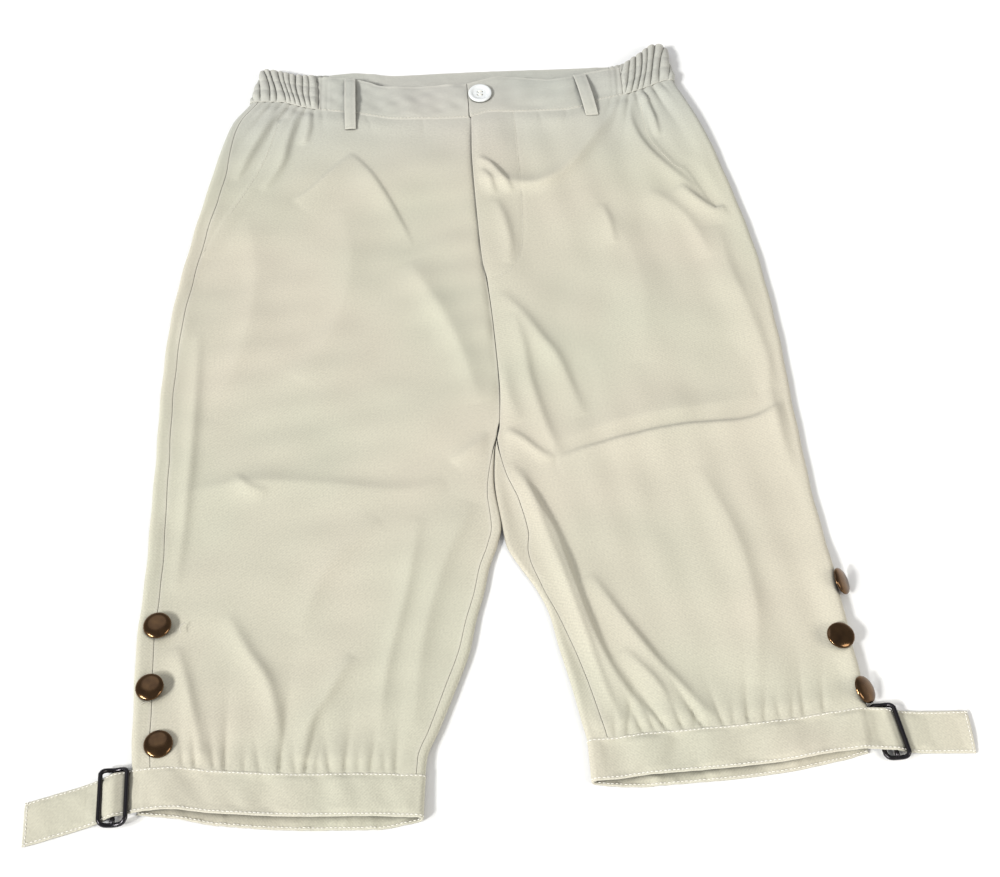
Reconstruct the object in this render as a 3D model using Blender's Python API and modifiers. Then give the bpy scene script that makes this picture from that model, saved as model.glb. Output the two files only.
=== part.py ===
"""Cropped trousers with knee bands, laid flat with the front up.

Across is measured in millimetres from the fly line, positive towards the wearer's left.
Down is measured from the top edge of the front waistband towards the hems. Both are turned
into the object's own frame, whose origin is under the middle of the garment: across becomes X,
up the garment becomes Y, and Z is the height above the surface that the garment lies on.
"""

import math

import bmesh
import bpy
import numpy as np

MM = 0.001
CENTRE_ACROSS = -11.5
CENTRE_DOWN = 316.0

# Walls of one cloth and of a faced band, then the gaps between pieces: at a plain seam, at a seam
# on the round of a fold, at the crotch, at the knee bands, at the waistband, and under what is sewn on.
CLOTH = 1.2
BAND = 2.0
SEAM_GAP = 0.3
ROUND_GAP = 0.7
CROTCH_GAP = 0.9
KNEE_GAP = 0.7
WAIST_GAP = 0.55
SEAT_GAP = 0.3

RIGHT = -1
LEFT = 1
CROTCH = 362.0
KNEE_BAND_WIDTH = 31.0

# How far a raised fold edge lifts the cloth beside it, and how near to an edge the creases fade.
OUTER_LIFT = 14.0
INNER_LIFT = 10.0
OUTER_CLEAR = 9.0
INNER_CLEAR = 7.0

# The left front laps over the right at the fly: rise, width and the stretch in which it ends.
LAP_RISE = 1.1
LAP_WIDTH = 30.0
LAP_END = (200.0, 230.0)

# Flat run of cloth beyond a fold, and rounds in which rows and columns settle on each other.
RUN_OUT = 3.0
ROUNDS = 6

DOME_RADIUS = 10.0
DOME_HEIGHT = 3.6
DOME_RIM = 1.1
SHANK_RADIUS = 2.4
SHANK_HEIGHT = 1.0
FLAT_TURN = 20
WAIST_BUTTON_RADIUS = 10.0
WAIST_BUTTON_THICKNESS = 2.6
WAIST_BUTTON_AT = (10.5, 14.0)
THREAD_HOLE_RADIUS = 0.9
THREAD_HOLE_OFFSET = 1.7
BELT_LOOP_WALL = 1.4
BELT_LOOP_BULGE = 1.4
BUCKLE_LENGTH = 42.0
BUCKLE_ROD = 1.5

# Edges of the flat garment: down, right side, left side.
OUTER_EDGE = (
    (-45, -172, 175),
    (-10, -181, 178),
    (8, -188, 182),
    (30, -203, 191),
    (57, -212, 199),
    (84, -219, 206),
    (115, -226, 212),
    (150, -234, 218),
    (200, -243, 225),
    (270, -252, 231),
    (340, -255, 233),
    (405, -257, 233),
    (470, -260, 237),
    (540, -264, 240),
    (600, -263, 241),
    (675, -260, 240),
)

# Inner edges: down, right leg, left leg. Both follow the fly line as far as the fork of the legs.
INNER_EDGE = (
    (-45, -1, -1),
    (0, -1, -1),
    (30, 3, 3),
    (86, 1, 1),
    (167, 2, 2),
    (254, 6, 6),
    (312, 7, 7),
    (345, 5, 5),
    (376, -1, -1),
    (404, -3, -3),
    (440, 0, 0),
    (456, -4, 2),
    (474, -11, 10),
    (494, -16, 21),
    (516, -23, 29),
    (540, -29, 33),
    (570, -41, 39),
    (600, -54, 44),
    (620, -63, 47),
    (675, -69, 47),
)

# Where the side seam lies, along the cloth from the fold edge: down, right side, left side.
SIDE_SEAM = ((-45, 9, 0), (38, 9, 0), (94, 13, 0), (200, 12, 0), (314, 11, 0), (454, 13, 0), (675, 15, 0))

# Where the inseam lies, along the cloth from the inner fold edge: down, right leg, left leg.
INSEAM = ((362, 0, 0), (394, 4, 7), (420, 7, 16), (450, 8, 22), (490, 8, 20), (540, 9, 15), (675, 7, 17))

# Height of the middle of the top cloth where it lies free: down, height.
REST_HEIGHT = ((-45, 8.4), (10, 8.2), (38, 6.6), (75, 4.0), (130, 2.7), (500, 2.7), (560, 4.0), (620, 7.4),
               (675, 9.2))

# Height of the top of the outer folds: down, right side, left side.
OUTER_FOLD = ((-45, 8.6, 8.6), (38, 8.4, 8.4), (110, 6.6, 6.6), (460, 5.8, 6.2), (500, 6.2, 9.2),
              (675, 8.8, 9.4))

# Height of the top of the inner folds: down, height.
INNER_FOLD = ((362, 2.8), (410, 3.4), (450, 4.4), (520, 5.4), (620, 7.4), (675, 9.2))

# Half depth of the folds, seen from above: down, outer, inner.
FOLD_DEPTH = ((-45, 4.0, 0.2), (340, 3.2, 0.2), (362, 3.2, 1.2), (410, 3.2, 1.6), (480, 3.6, 2.2),
              (675, 4.2, 3.4))

# Seam between front waistband and front panels: across, down.
WAIST_SEAM = (
    (-200, 8),
    (-178, 9),
    (-162, 10),
    (-145, 16),
    (-125, 22),
    (-95, 28),
    (-60, 36),
    (0, 38),
    (18, 34),
    (78, 35),
    (95, 33),
    (113, 26),
    (135, 21),
    (155, 14),
    (175, 7),
    (200, 6),
)

# Top edge of the front waistband: across, down.
FRONT_WAIST_EDGE = (
    (-200, -29),
    (-172, -27),
    (-145, -19),
    (-110, -15),
    (-94, -12),
    (-67, -2),
    (0, -1),
    (29, -7),
    (47, -5),
    (81, -1),
    (104, -7),
    (134, -12),
    (150, -23),
    (168, -35),
    (180, -31),
    (200, -30),
)

# Back waistband, whose inside shows above the front: across, top edge, seam.
BACK_WAISTBAND = (
    (-200, -31, 8),
    (-172, -31, 8),
    (-150, -27, 9),
    (-125, -25, 10),
    (-100, -27, 10.5),
    (-60, -21, 11),
    (0, -21, 11),
    (60, -20, 10.5),
    (125, -19, 9),
    (150, -26, 8),
    (168, -37, 7),
    (180, -31, 6),
    (200, -30, 6),
)

# Top edge of each knee band, and how much lower it lies on the back: across, down, drop at the back.
RIGHT_KNEE_LINE = (
    (-345, 634, 0),
    (-333, 632, 0),
    (-285, 620, 0),
    (-262, 615, 0),
    (-240, 615, 3),
    (-205, 620, 6),
    (-150, 626, 7),
    (-100, 629, 7),
    (-80, 631, 3),
    (-66, 632, 0),
    (-55, 632, 0),
)
LEFT_KNEE_LINE = (
    (35, 614, 0),
    (47, 614, 0),
    (60, 614, 2),
    (90, 612, 6),
    (134, 611, 6),
    (180, 609, 5),
    (220, 605, 3),
    (240, 604, 0),
    (262, 606, 0),
    (310, 609, 0),
    (322, 610, 0),
)

# Main folds of the cloth: from across, from down, to across, to down, half width, height.
FOLDS = (
    (-133, 104, -101, 71, 9, 2.0),
    (-101, 71, -56, 163, 10, 2.2),
    (-54, 200, -10, 306, 14, 1.9),
    (-236, 402, -73, 404, 10, 1.1),
    (-147, 20, -161, 75, 7, 1.6),
    (-201, 510, -159, 608, 9, 1.7),
    (-233, 528, -215, 612, 8, 1.5),
    (-128, 560, -146, 612, 8, 1.6),
    (48, 384, 156, 364, 9, 2.5),
    (156, 364, 229, 345, 9, 2.1),
    (130, 34, 72, 104, 10, 2.3),
    (72, 104, 8, 106, 9, 1.6),
    (13, 225, 69, 345, 11, 1.9),
    (12, 390, 46, 483, 8, 1.7),
    (46, 483, 91, 599, 10, 2.1),
    (64, 492, 132, 598, 9, 1.6),
    (197, 181, 220, 327, 10, 1.9),
    (152, 14, 158, 57, 8, 2.0),
)

# Gathers of the front panels at the knee bands: across at the band.
RIGHT_GATHERS = (-220, -207, -194, -178, -163, -147, -134, -119, -102, -85)
LEFT_GATHERS = (72, 86, 100, 113, 127, 142, 158, 174, 193, 211)
GATHER_HEIGHT = 1.3
GATHER_LENGTH = 42.0
GATHER_WIDTH = 4.2
GATHER_SPREAD = 0.06

# Where the front of each knee band arches up beside the buckle: across, half width, rise.
KNEE_ARCH = {RIGHT: (-236, 14, 1.5), LEFT: (208, 26, 3.0)}

# Down, at the middle of a panel, of the rows of points that all four panels share.
PANEL_ROWS = (38, 50, 66, 84, 104, 128, 158, 200, 245, 290, 325, 346, 358, 366, 376, 390, 404, 424, 450, 480,
              512, 542, 568, 588, 604, 618)
TOP_BEND_END = 150
BOTTOM_BEND_START = 440

# Elastic side waistbands: number of grooves and their depth.
ELASTIC_GROOVES = 9
GROOVE_DEPTH = 1.2
RIGHT_ELASTIC = (-129.0, -120.0)
LEFT_ELASTIC = (134.0, 126.0)

# Belt loops: name, side, top and bottom end as across and down, width.
BELT_LOOPS = (
    ("belt_loop_right", RIGHT, (-101, -12), (-102, 45), 12),
    ("belt_loop_left", LEFT, (98, -3), (105, 43), 11),
)

# Path of each strap outside the leg, from its tail to the knee: across, height of its middle.
RIGHT_STRAP = ((-334, 1.0), (-318, 1.2), (-306, 1.0), (-296, 1.1), (-289.5, 1.9), (-283.6, 3.3), (-279, 5.2),
               (-274.5, 6.6), (-270, 5.4), (-265.4, 4.9), (-260, 6.6))
LEFT_STRAP = ((311, 1.0), (296, 1.2), (283, 1.0), (274, 1.2), (268, 2.0), (262, 3.3), (258, 5.0), (254, 7.0),
              (250, 7.0), (246.2, 6.9), (241, 7.6))

# Rods of each buckle, as across and height of the middle, and how far each buckle is turned in degrees.
RIGHT_RODS = ((-283.6, 6.3), (-274.5, 3.8), (-265.4, 7.9))
LEFT_RODS = ((262, 6.4), (254, 4.0), (246.2, 3.8))
BUCKLE_TURN = {RIGHT: 0.0, LEFT: 8.0}
BUCKLE_REACH = 16.0

# Metal buttons: name, across, down, turn outwards in degrees.
DOME_BUTTONS = (
    ("button_right_1", -249, 508, 4),
    ("button_right_2", -252.5, 556, 6),
    ("button_right_3", -245, 599, 3),
    ("button_left_1", 238.5, 506, 52),
    ("button_left_2", 231.5, 550, 8),
    ("button_left_3", 239.5, 592, 40),
)

SHADES = {
    "twill": ((0.66, 0.62, 0.50, 1), 0.85, 0.0),
    "dome": ((0.16, 0.11, 0.07, 1), 0.15, 1.0),
    "gunmetal": ((0.08, 0.08, 0.09, 1), 0.3, 1.0),
    "plastic": ((0.85, 0.85, 0.82, 1), 0.35, 0.0),
}


def smooth(table, column, at):
    """Reads one column of a table at any place, on a smooth curve through its rows that never
    swings past them: each row's slope is the harmonic mean of the slopes beside it."""
    rows = np.array(table, float)
    knots, values = rows[:, 0], rows[:, column]
    rise = np.diff(values) / np.diff(knots)
    product = rise[:-1] * rise[1:]
    mean = 2 * product / np.where(product > 0, rise[:-1] + rise[1:], 1)
    slopes = np.concatenate([rise[:1], np.where(product > 0, mean, 0), rise[-1:]])
    at = np.clip(at, knots[0], knots[-1])
    low = np.clip(np.searchsorted(knots, at) - 1, 0, len(knots) - 2)
    span = knots[low + 1] - knots[low]
    t = (at - knots[low]) / span
    start = (2 * t**3 - 3 * t**2 + 1) * values[low] + (t**3 - 2 * t**2 + t) * span * slopes[low]
    end = (3 * t**2 - 2 * t**3) * values[low + 1] + (t**3 - t**2) * span * slopes[low + 1]
    return start + end


def ramp(value, start, end):
    """Rises smoothly from 0 at start to 1 at end."""
    t = np.clip((value - start) / (end - start), 0, 1)
    return t * t * (3 - 2 * t)


def of_side(side):
    """The table column that belongs to a side."""
    return 1 if side == RIGHT else 2


def outer_edge(side, down):
    return smooth(OUTER_EDGE, of_side(side), down)


def inner_edge(side, down):
    """The fly line or the inner fold. Below the crotch the two legs stand a wall apart."""
    apart = SEAM_GAP / 2 + CLOTH / 2 * ramp(down, CROTCH - 40, CROTCH - 18)
    return smooth(INNER_EDGE, of_side(side), down) + side * apart


def knee_line(side, across, drop=0):
    """Down of the knee band's top edge. With drop 1 it is the edge on the back of the leg."""
    table = RIGHT_KNEE_LINE if side == RIGHT else LEFT_KNEE_LINE
    return smooth(table, 1, across) + drop * smooth(table, 2, across)


def top_height(side, across, down):
    """Height of the middle of the top cloth: rest height, rise at the folds, then the creases."""
    rest = smooth(REST_HEIGHT, 1, down)
    from_outer = np.abs(across - outer_edge(side, down))
    from_inner = np.abs(across - inner_edge(side, down))
    outer_rise = smooth(OUTER_FOLD, of_side(side), down) - rest
    inner_rise = (smooth(INNER_FOLD, 1, down) - rest) * ramp(down, CROTCH - 20, CROTCH + 30)
    height = rest + outer_rise * np.exp(-((from_outer / OUTER_LIFT) ** 2))
    height = height + inner_rise * np.exp(-((from_inner / INNER_LIFT) ** 2))
    clear = (1 - np.exp(-((from_outer / OUTER_CLEAR) ** 2))) * ramp(down, 30, 60) * (1 - ramp(down, 604, 640))
    clear = clear * (1 - ramp(down, CROTCH - 20, CROTCH + 20) * np.exp(-((from_inner / INNER_CLEAR) ** 2)))
    crease = 0
    for x0, s0, x1, s1, half_width, rise in FOLDS:
        length_x, length_s = x1 - x0, s1 - s0
        along = np.clip(
            ((across - x0) * length_x + (down - s0) * length_s) / (length_x**2 + length_s**2), 0, 1
        )
        away = np.hypot(across - x0 - along * length_x, down - s0 - along * length_s)
        crease = crease + rise * (0.4 + 0.6 * np.sin(math.pi * along)) * np.exp(-((away / half_width) ** 2))
    height = height + clear * crease
    above_band = np.maximum(knee_line(side, across) - down, 0)
    fade = np.exp(-((above_band / GATHER_LENGTH) ** 2)) * (1 - ramp(down, 622, 640))
    ridges = 0
    for place in RIGHT_GATHERS if side == RIGHT else LEFT_GATHERS:
        away = across - place - side * GATHER_SPREAD * above_band
        ridges = ridges + np.exp(-((away / GATHER_WIDTH) ** 2))
    inside = (1 - np.exp(-((from_outer / 25) ** 2))) * (1 - np.exp(-((from_inner / 12) ** 2)))
    height = height + GATHER_HEIGHT * fade * inside * (ridges - 0.5)
    arch_middle, arch_width, arch_rise = KNEE_ARCH[side]
    height = height + arch_rise * np.exp(-(((across - arch_middle) / arch_width) ** 2)) * ramp(down, 606, 638)
    if side == LEFT:
        lap = np.exp(-((from_inner / LAP_WIDTH) ** 4)) * (1 - ramp(down, *LAP_END)) * ramp(down, -20, 10)
        height = height + LAP_RISE * lap
    return np.maximum(height, 1.5 * CLOTH + SEAT_GAP)


def fold_size(side, end, down, wall):
    """Half depth, half height and quarter arc of the half ellipse that joins top and bottom."""
    depth = smooth(FOLD_DEPTH, 1 if end == "outer" else 2, down)
    if end == "outer":
        at = outer_edge(side, down) - side * depth
    else:
        at = inner_edge(side, down) + side * depth
    half = (top_height(side, at, down) - wall / 2) / 2
    return depth, half, math.pi / 2 * np.sqrt((depth**2 + half**2) / 2)


def section_point(side, end, arc, down, wall=CLOTH):
    """Across and height of a point of the section, by its distance along the cloth from the fold's
    outermost point: above it if positive, and along the bottom if negative."""
    depth, half, quarter = fold_size(side, end, down, wall)
    angle = np.clip(arc / quarter, -1, 1) * math.pi / 2
    inset = depth * (1 - np.cos(angle)) + np.maximum(np.abs(arc) - quarter, 0)
    if end == "outer":
        across = outer_edge(side, down) - side * inset
    else:
        across = inner_edge(side, down) + side * inset
    round_part = wall / 2 + half * (1 + np.sin(angle))
    height = np.where(arc > quarter, top_height(side, across, down), round_part)
    return across, np.where(arc < -quarter, wall / 2, height)


def inseam_arc(side, down, sheet):
    """Where a panel ends at the inner edge. Above the crotch the front ends on top and the back below;
    from the crotch down they meet at the inseam."""
    quarter = fold_size(side, "inner", down, CLOTH)[2]
    to_middle = ramp(down, CROTCH - 16, CROTCH)
    above = sheet * quarter * (1 - to_middle)
    half_gap = SEAM_GAP / 2 + CROTCH_GAP * np.exp(-(((down - CROTCH - 4) / 11) ** 2))
    return above + np.where(down > CROTCH, smooth(INSEAM, of_side(side), down), 0) + sheet * half_gap


def side_seam_arc(side, down, sheet):
    """Where a panel ends at the side seam. A seam on the round of the fold needs a wider gap, because
    the two walls lean towards each other there."""
    half_gap = SEAM_GAP / 2 if side == RIGHT else ROUND_GAP / 2
    return smooth(SIDE_SEAM, of_side(side), down) + sheet * half_gap


def cloth_face(side, across, down):
    """Height of the top face of the leg's cloth, on the fold's round too."""
    depth, half, _ = fold_size(side, "outer", down, CLOTH)
    inset = np.clip(np.abs(outer_edge(side, down)) - np.abs(across), 0, depth)
    round_part = CLOTH / 2 + half * (1 + np.sqrt(1 - (1 - inset / depth) ** 2))
    return np.where(inset < depth, round_part, top_height(side, across, down)) + CLOTH / 2


def to_points(across, down, height):
    """Millimetres on the garment to metres in the object's frame."""
    return np.stack([(across - CENTRE_ACROSS) * MM, (CENTRE_DOWN - down) * MM, height * MM], axis=-1)


def material(name):
    colour, roughness, metallic = SHADES[name]
    made = bpy.data.materials.get(name) or bpy.data.materials.new(name)
    made.use_nodes = True
    shader = made.node_tree.nodes["Principled BSDF"]
    shader.inputs["Base Color"].default_value = colour
    shader.inputs["Roughness"].default_value = roughness
    shader.inputs["Metallic"].default_value = metallic
    return made


def add_object(name, mesh, shade, collection):
    mesh.shade_smooth()
    mesh.set_sharp_from_angle(angle=math.radians(40))
    mesh.materials.append(material(shade))
    made = bpy.data.objects.new(name, mesh)
    collection.objects.link(made)
    return made


def grid_mesh(name, layers):
    """A mesh of one open grid, or of two grids joined at their rims into a closed wall."""
    shape = bmesh.new()
    rows, columns = layers[0].shape[:2]
    corners = [[[shape.verts.new(p) for p in row] for row in layer] for layer in layers]
    for number, layer in enumerate(corners):
        for i in range(rows - 1):
            for j in range(columns - 1):
                face = [layer[i][j], layer[i][j + 1], layer[i + 1][j + 1], layer[i + 1][j]]
                shape.faces.new(face if number == 0 else face[::-1])
    if len(layers) == 2:
        rim = [(0, j) for j in range(columns)] + [(i, columns - 1) for i in range(1, rows)]
        rim += [(rows - 1, j) for j in range(columns - 2, -1, -1)]
        rim += [(i, 0) for i in range(rows - 2, 0, -1)]
        for (i, j), (k, m) in zip(rim, rim[1:] + rim[:1]):
            shape.faces.new([corners[0][k][m], corners[0][i][j], corners[1][i][j], corners[1][k][m]])
        bmesh.ops.recalc_face_normals(shape, faces=shape.faces)
    mesh = bpy.data.meshes.new(name)
    shape.to_mesh(mesh)
    shape.free()
    return mesh


def cloth(name, points, wall, collection):
    """An open sheet of points given a wall of cloth, half on each side."""
    made = add_object(name, grid_mesh(name, [points]), "twill", collection)
    solid = made.modifiers.new("wall", "SOLIDIFY")
    solid.thickness = wall * MM
    solid.offset = 0
    return made


def outward(points):
    """Unit normals of a grid of points."""
    normal = np.cross(np.gradient(points, axis=1), np.gradient(points, axis=0))
    return normal / np.linalg.norm(normal, axis=-1, keepdims=True)


def panel_down(top, bottom):
    """Down of a panel's rows. They run straight across the middle of the garment, and bend near its
    ends to follow the two seams."""
    rows = np.array(PANEL_ROWS, float)[:, None]
    at_top = (top + SEAM_GAP / 2 - rows[0]) * (1 - ramp(rows, rows[0], TOP_BEND_END))
    at_bottom = (bottom - SEAM_GAP / 2 - rows[-1]) * ramp(rows, BOTTOM_BEND_START, rows[-1])
    return rows + at_top + at_bottom


def gather_shares(side):
    """Columns of the front panel: one on each gather and one between each two."""
    gathers = sorted(RIGHT_GATHERS if side == RIGHT else LEFT_GATHERS, reverse=side == LEFT)
    start, end = outer_edge(side, PANEL_ROWS[-1]), inner_edge(side, PANEL_ROWS[-1])
    stops = [start, *gathers, end]
    places = [start + (gathers[0] - start) / 3]
    for here, there in zip(stops[1:-1], stops[2:]):
        places += [here, (here + there) / 2]
    return (np.array(places) - start) / (end - start)


def straight_rows(count):
    """The rows before any bend, where the rounds start."""
    return np.repeat(np.array(PANEL_ROWS, float)[:, None], count, axis=1)


def front_panel(side, collection):
    """From the side seam over the top to the fly line or the inseam."""
    middle = gather_shares(side)
    fold_steps = np.linspace(0, 1, 2 if side == RIGHT else 5)
    inner_steps = np.linspace(1, 0, 4)
    count = len(fold_steps) + len(middle) + len(inner_steps)
    outer_share = np.concatenate([fold_steps, np.ones(count - len(fold_steps))])
    inner_share = np.concatenate([np.ones(count - len(inner_steps)), inner_steps])
    blend = np.concatenate([np.zeros(len(fold_steps)), middle, np.ones(len(inner_steps))])
    down = straight_rows(count)
    for _ in range(ROUNDS):
        arc = side_seam_arc(side, down, 1)
        reach = np.maximum(fold_size(side, "outer", down, CLOTH)[2] - arc, 0) + RUN_OUT
        outer_across, outer_height = section_point(side, "outer", arc + reach * outer_share, down)
        arc = inseam_arc(side, down, 1)
        reach = np.maximum(fold_size(side, "inner", down, CLOTH)[2] - arc, 0) + RUN_OUT
        inner_across, inner_height = section_point(side, "inner", arc + reach * inner_share, down)
        across = outer_across + (inner_across - outer_across) * blend
        height = np.where(blend > 0, top_height(side, across, down), outer_height)
        height = np.where(blend < 1, height, inner_height)
        down = panel_down(smooth(WAIST_SEAM, 1, across), knee_line(side, across))
    name = "front_right" if side == RIGHT else "front_left"
    cloth(name, to_points(across, down, height), CLOTH, collection)


def back_panel(side, collection):
    """From the side seam round the outer fold, along the bottom, and round the inner fold to the inseam.
    Above the crotch its last columns lie flat beside the other back panel."""
    outer_steps = [0, 0.22, 0.42, 0.54, 0.66, 0.77, 0.88, 1] if side == RIGHT else [0, 0.25, 0.5, 0.75, 1]
    inner_steps = [0, 0.12, 0.24, 0.36, 0.48, 0.62, 0.8, 1]
    middle = [0.1, 0.25, 0.5, 0.75, 0.9]
    flat_end = 14.0
    count = len(outer_steps) + len(middle) + len(inner_steps)
    outer_share = np.concatenate([outer_steps, np.ones(count - len(outer_steps))])
    inner_share = np.concatenate([np.zeros(count - len(inner_steps)), inner_steps])
    blend = np.concatenate([np.zeros(len(outer_steps)), middle, np.ones(len(inner_steps))])
    at_side_seam = np.arange(count) < 3
    at_inseam = np.arange(count) >= count - 3
    lower = np.where(at_side_seam | at_inseam, 0, 1)
    down = straight_rows(count)
    for _ in range(ROUNDS):
        top = side_seam_arc(side, down, -1)
        bottom = -fold_size(side, "outer", down, CLOTH)[2] - RUN_OUT
        outer_across, outer_height = section_point(side, "outer", top + (bottom - top) * outer_share, down)
        start = -fold_size(side, "inner", down, CLOTH)[2] - RUN_OUT
        end = inseam_arc(side, down, -1)
        flat_arc = end - flat_end * (1 - inner_share)
        fold_arc = start + (end - start) * inner_share
        arc = flat_arc + (fold_arc - flat_arc) * ramp(down, CROTCH - 40, CROTCH)
        inner_across, inner_height = section_point(side, "inner", arc, down)
        across = outer_across + (inner_across - outer_across) * blend
        height = np.where(blend > 0, CLOTH / 2, outer_height)
        height = np.where(blend < 1, height, inner_height)
        top_seam = np.where(at_side_seam, smooth(WAIST_SEAM, 1, across), smooth(BACK_WAISTBAND, 2, across))
        down = panel_down(top_seam, knee_line(side, across, lower))
    name = "back_right" if side == RIGHT else "back_left"
    cloth(name, to_points(across, down, height)[:, ::-1], CLOTH, collection)


def front_waistband(side, collection):
    """From the elastic to the fly line."""
    elastic = RIGHT_ELASTIC[0] if side == RIGHT else LEFT_ELASTIC[0]
    places = np.linspace(elastic - side * SEAM_GAP / 2, inner_edge(side, 10.0) + side * 0.05, 14)
    across = np.tile(places, (5, 1))
    top, bottom = smooth(FRONT_WAIST_EDGE, 1, across), smooth(WAIST_SEAM, 1, across) - WAIST_GAP
    down = top + (bottom - top) * np.linspace(0, 1, 5)[:, None]
    height = top_height(side, across, down)
    name = "waistband_front_right" if side == RIGHT else "waistband_front_left"
    cloth(name, to_points(across, down, height), BAND, collection)


def side_waistband(side, collection):
    """Gathered by elastic: ridges and grooves stand in the outer face, over a plain inner face."""
    front_end, back_end = RIGHT_ELASTIC if side == RIGHT else LEFT_ELASTIC
    per_groove, fold_count, back_count = 4, 5, 4
    groove_bed = 0.3
    rows = np.linspace(0, 1, 6)[:, None]
    front_count = ELASTIC_GROOVES * per_groove + 1
    fold_angle = [*np.ones(front_count), *np.linspace(0.6, -1, fold_count), *-np.ones(back_count)]
    along_front = np.array([*np.linspace(0, 1, front_count), *np.ones(fold_count + back_count)])
    along_back = np.array([*np.zeros(front_count + fold_count), *np.linspace(0.25, 1, back_count)])
    lower = np.array([*np.zeros(front_count), *np.linspace(0.2, 1, fold_count), *np.ones(back_count)])
    start = front_end + side * SEAM_GAP / 2
    down = np.repeat((rows - 0.5) * 38, len(lower), axis=1)
    for _ in range(ROUNDS):
        depth, _, quarter = fold_size(side, "outer", down, BAND)
        edge = outer_edge(side, down)
        fold_across, fold_height = section_point(side, "outer", fold_angle * quarter, down, BAND)
        across = np.where(along_front < 1, start + (edge - side * depth - start) * along_front, fold_across)
        across = across + (back_end + side * SEAM_GAP / 2 - across) * along_back
        height = np.where(along_front < 1, top_height(side, across, down), fold_height)
        height = np.where(along_back > 0, BAND / 2, height)
        top = smooth(FRONT_WAIST_EDGE, 1, across) * (1 - lower) + smooth(BACK_WAISTBAND, 1, across) * lower
        seam = smooth(WAIST_SEAM, 1, across) * (1 - lower) + smooth(BACK_WAISTBAND, 2, across) * lower
        down = top + (seam - WAIST_GAP - top) * rows
    middle = to_points(across, down, height)
    normal = outward(middle) * -side
    wave = 0.5 - 0.5 * np.cos(2 * math.pi * ELASTIC_GROOVES * along_front)
    stitch_rows = 1 - 0.5 * np.exp(-(((rows - 0.5) / 0.12) ** 2))
    raised = GROOVE_DEPTH * wave * stitch_rows * (along_front < 1)
    outer = middle + normal * ((BAND / 2 - groove_bed + raised) * MM)[..., None]
    inner = middle - normal * (BAND / 2 * MM)
    outer[..., 2] = np.where(along_back > 0, 0, np.maximum(outer[..., 2], 0))
    name = "waistband_side_right" if side == RIGHT else "waistband_side_left"
    add_object(name, grid_mesh(name, [outer, inner]), "twill", collection)


def back_waistband(collection):
    """Lies flat, its inside showing above the front."""
    places = np.linspace(RIGHT_ELASTIC[1] + SEAM_GAP / 2, LEFT_ELASTIC[1] - SEAM_GAP / 2, 18)
    across = np.tile(places, (4, 1))
    top, seam = smooth(BACK_WAISTBAND, 1, across), smooth(BACK_WAISTBAND, 2, across) - WAIST_GAP
    down = top + (seam - top) * np.linspace(0, 1, 4)[:, None]
    cloth("waistband_back", to_points(across, down, np.full(down.shape, BAND / 2)), BAND, collection)


def belt_loop(name, side, top, bottom, width, collection):
    """A folded strip sewn at both ends to the front waistband, standing off it between them."""
    steps = np.linspace(0, 1, 9)[:, None]
    middle = top[0] + (bottom[0] - top[0]) * steps
    across = middle + np.array([-0.5, 0.5]) * width
    down = top[1] + (bottom[1] - top[1]) * steps + np.zeros(2)
    band_face = top_height(side, across, np.maximum(down, smooth(FRONT_WAIST_EDGE, 1, across))) + BAND / 2
    bulge = BELT_LOOP_BULGE * np.sin(math.pi * steps) ** 0.7
    height = band_face + SEAT_GAP + BELT_LOOP_WALL / 2 + bulge
    cloth(name, to_points(across, down, height), BELT_LOOP_WALL, collection)


def turned(name, profile, steps, shade, collection):
    """A closed profile of radius and height, in millimetres, turned about its own axis."""
    mesh = bpy.data.meshes.new(name)
    points = [(radius * MM, 0, height * MM) for radius, height in profile]
    mesh.from_pydata(points, [(i, i + 1) for i in range(len(points) - 1)], [])
    made = add_object(name, mesh, shade, collection)
    screw = made.modifiers.new("turn", "SCREW")
    screw.axis = "Z"
    screw.steps = screw.render_steps = steps
    screw.use_merge_vertices = True
    screw.merge_threshold = 0.00001
    screw.use_normal_calculate = True
    return made


def dome_button(name, across, down, turn, collection):
    """A domed metal cap on a short shank that stands on the cloth at its own tilt."""
    side = LEFT if across > 0 else RIGHT
    profile = [(0, DOME_HEIGHT)]
    for share in (0.5, 0.85, 1.0):
        rise = DOME_RIM + (DOME_HEIGHT - DOME_RIM) * math.sqrt(1 - share**2)
        profile.append((DOME_RADIUS * share, rise))
    profile += [(DOME_RADIUS - 0.3, 0)]
    profile += [(SHANK_RADIUS, 0), (SHANK_RADIUS, -SHANK_HEIGHT), (0, -SHANK_HEIGHT)]
    made = turned(name, profile, 16, "dome", collection)
    tilt = math.radians(turn)
    seat = SEAT_GAP + SHANK_HEIGHT
    if turn > FLAT_TURN:
        depth, half, _ = fold_size(side, "outer", float(down), CLOTH)
        foot_across = outer_edge(side, down) - side * depth * (1 - math.sin(tilt))
        foot_height = CLOTH / 2 + half * (1 + math.cos(tilt))
        foot_across = foot_across + side * math.sin(tilt) * (seat + CLOTH / 2)
        foot_height = foot_height + math.cos(tilt) * (seat + CLOTH / 2)
    else:
        around = np.linspace(0, 2 * math.pi, 16, endpoint=False)
        reach = np.array([0, 0.3, 0.6, 0.8, 1.0])[:, None] * DOME_RADIUS
        beside = across + reach * np.cos(around)
        face = cloth_face(side, beside, down + reach * np.sin(around))
        lean = math.tan(tilt) * side * (beside - across)
        foot_across = across
        foot_height = max(float((face + lean).max()) + SEAT_GAP, float(face[0, 0]) + seat)
    x, y, z = to_points(np.float64(foot_across), np.float64(down), np.float64(foot_height))
    made.location = (float(x), float(y), float(z))
    made.rotation_euler = (0, side * tilt, 0)


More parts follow.
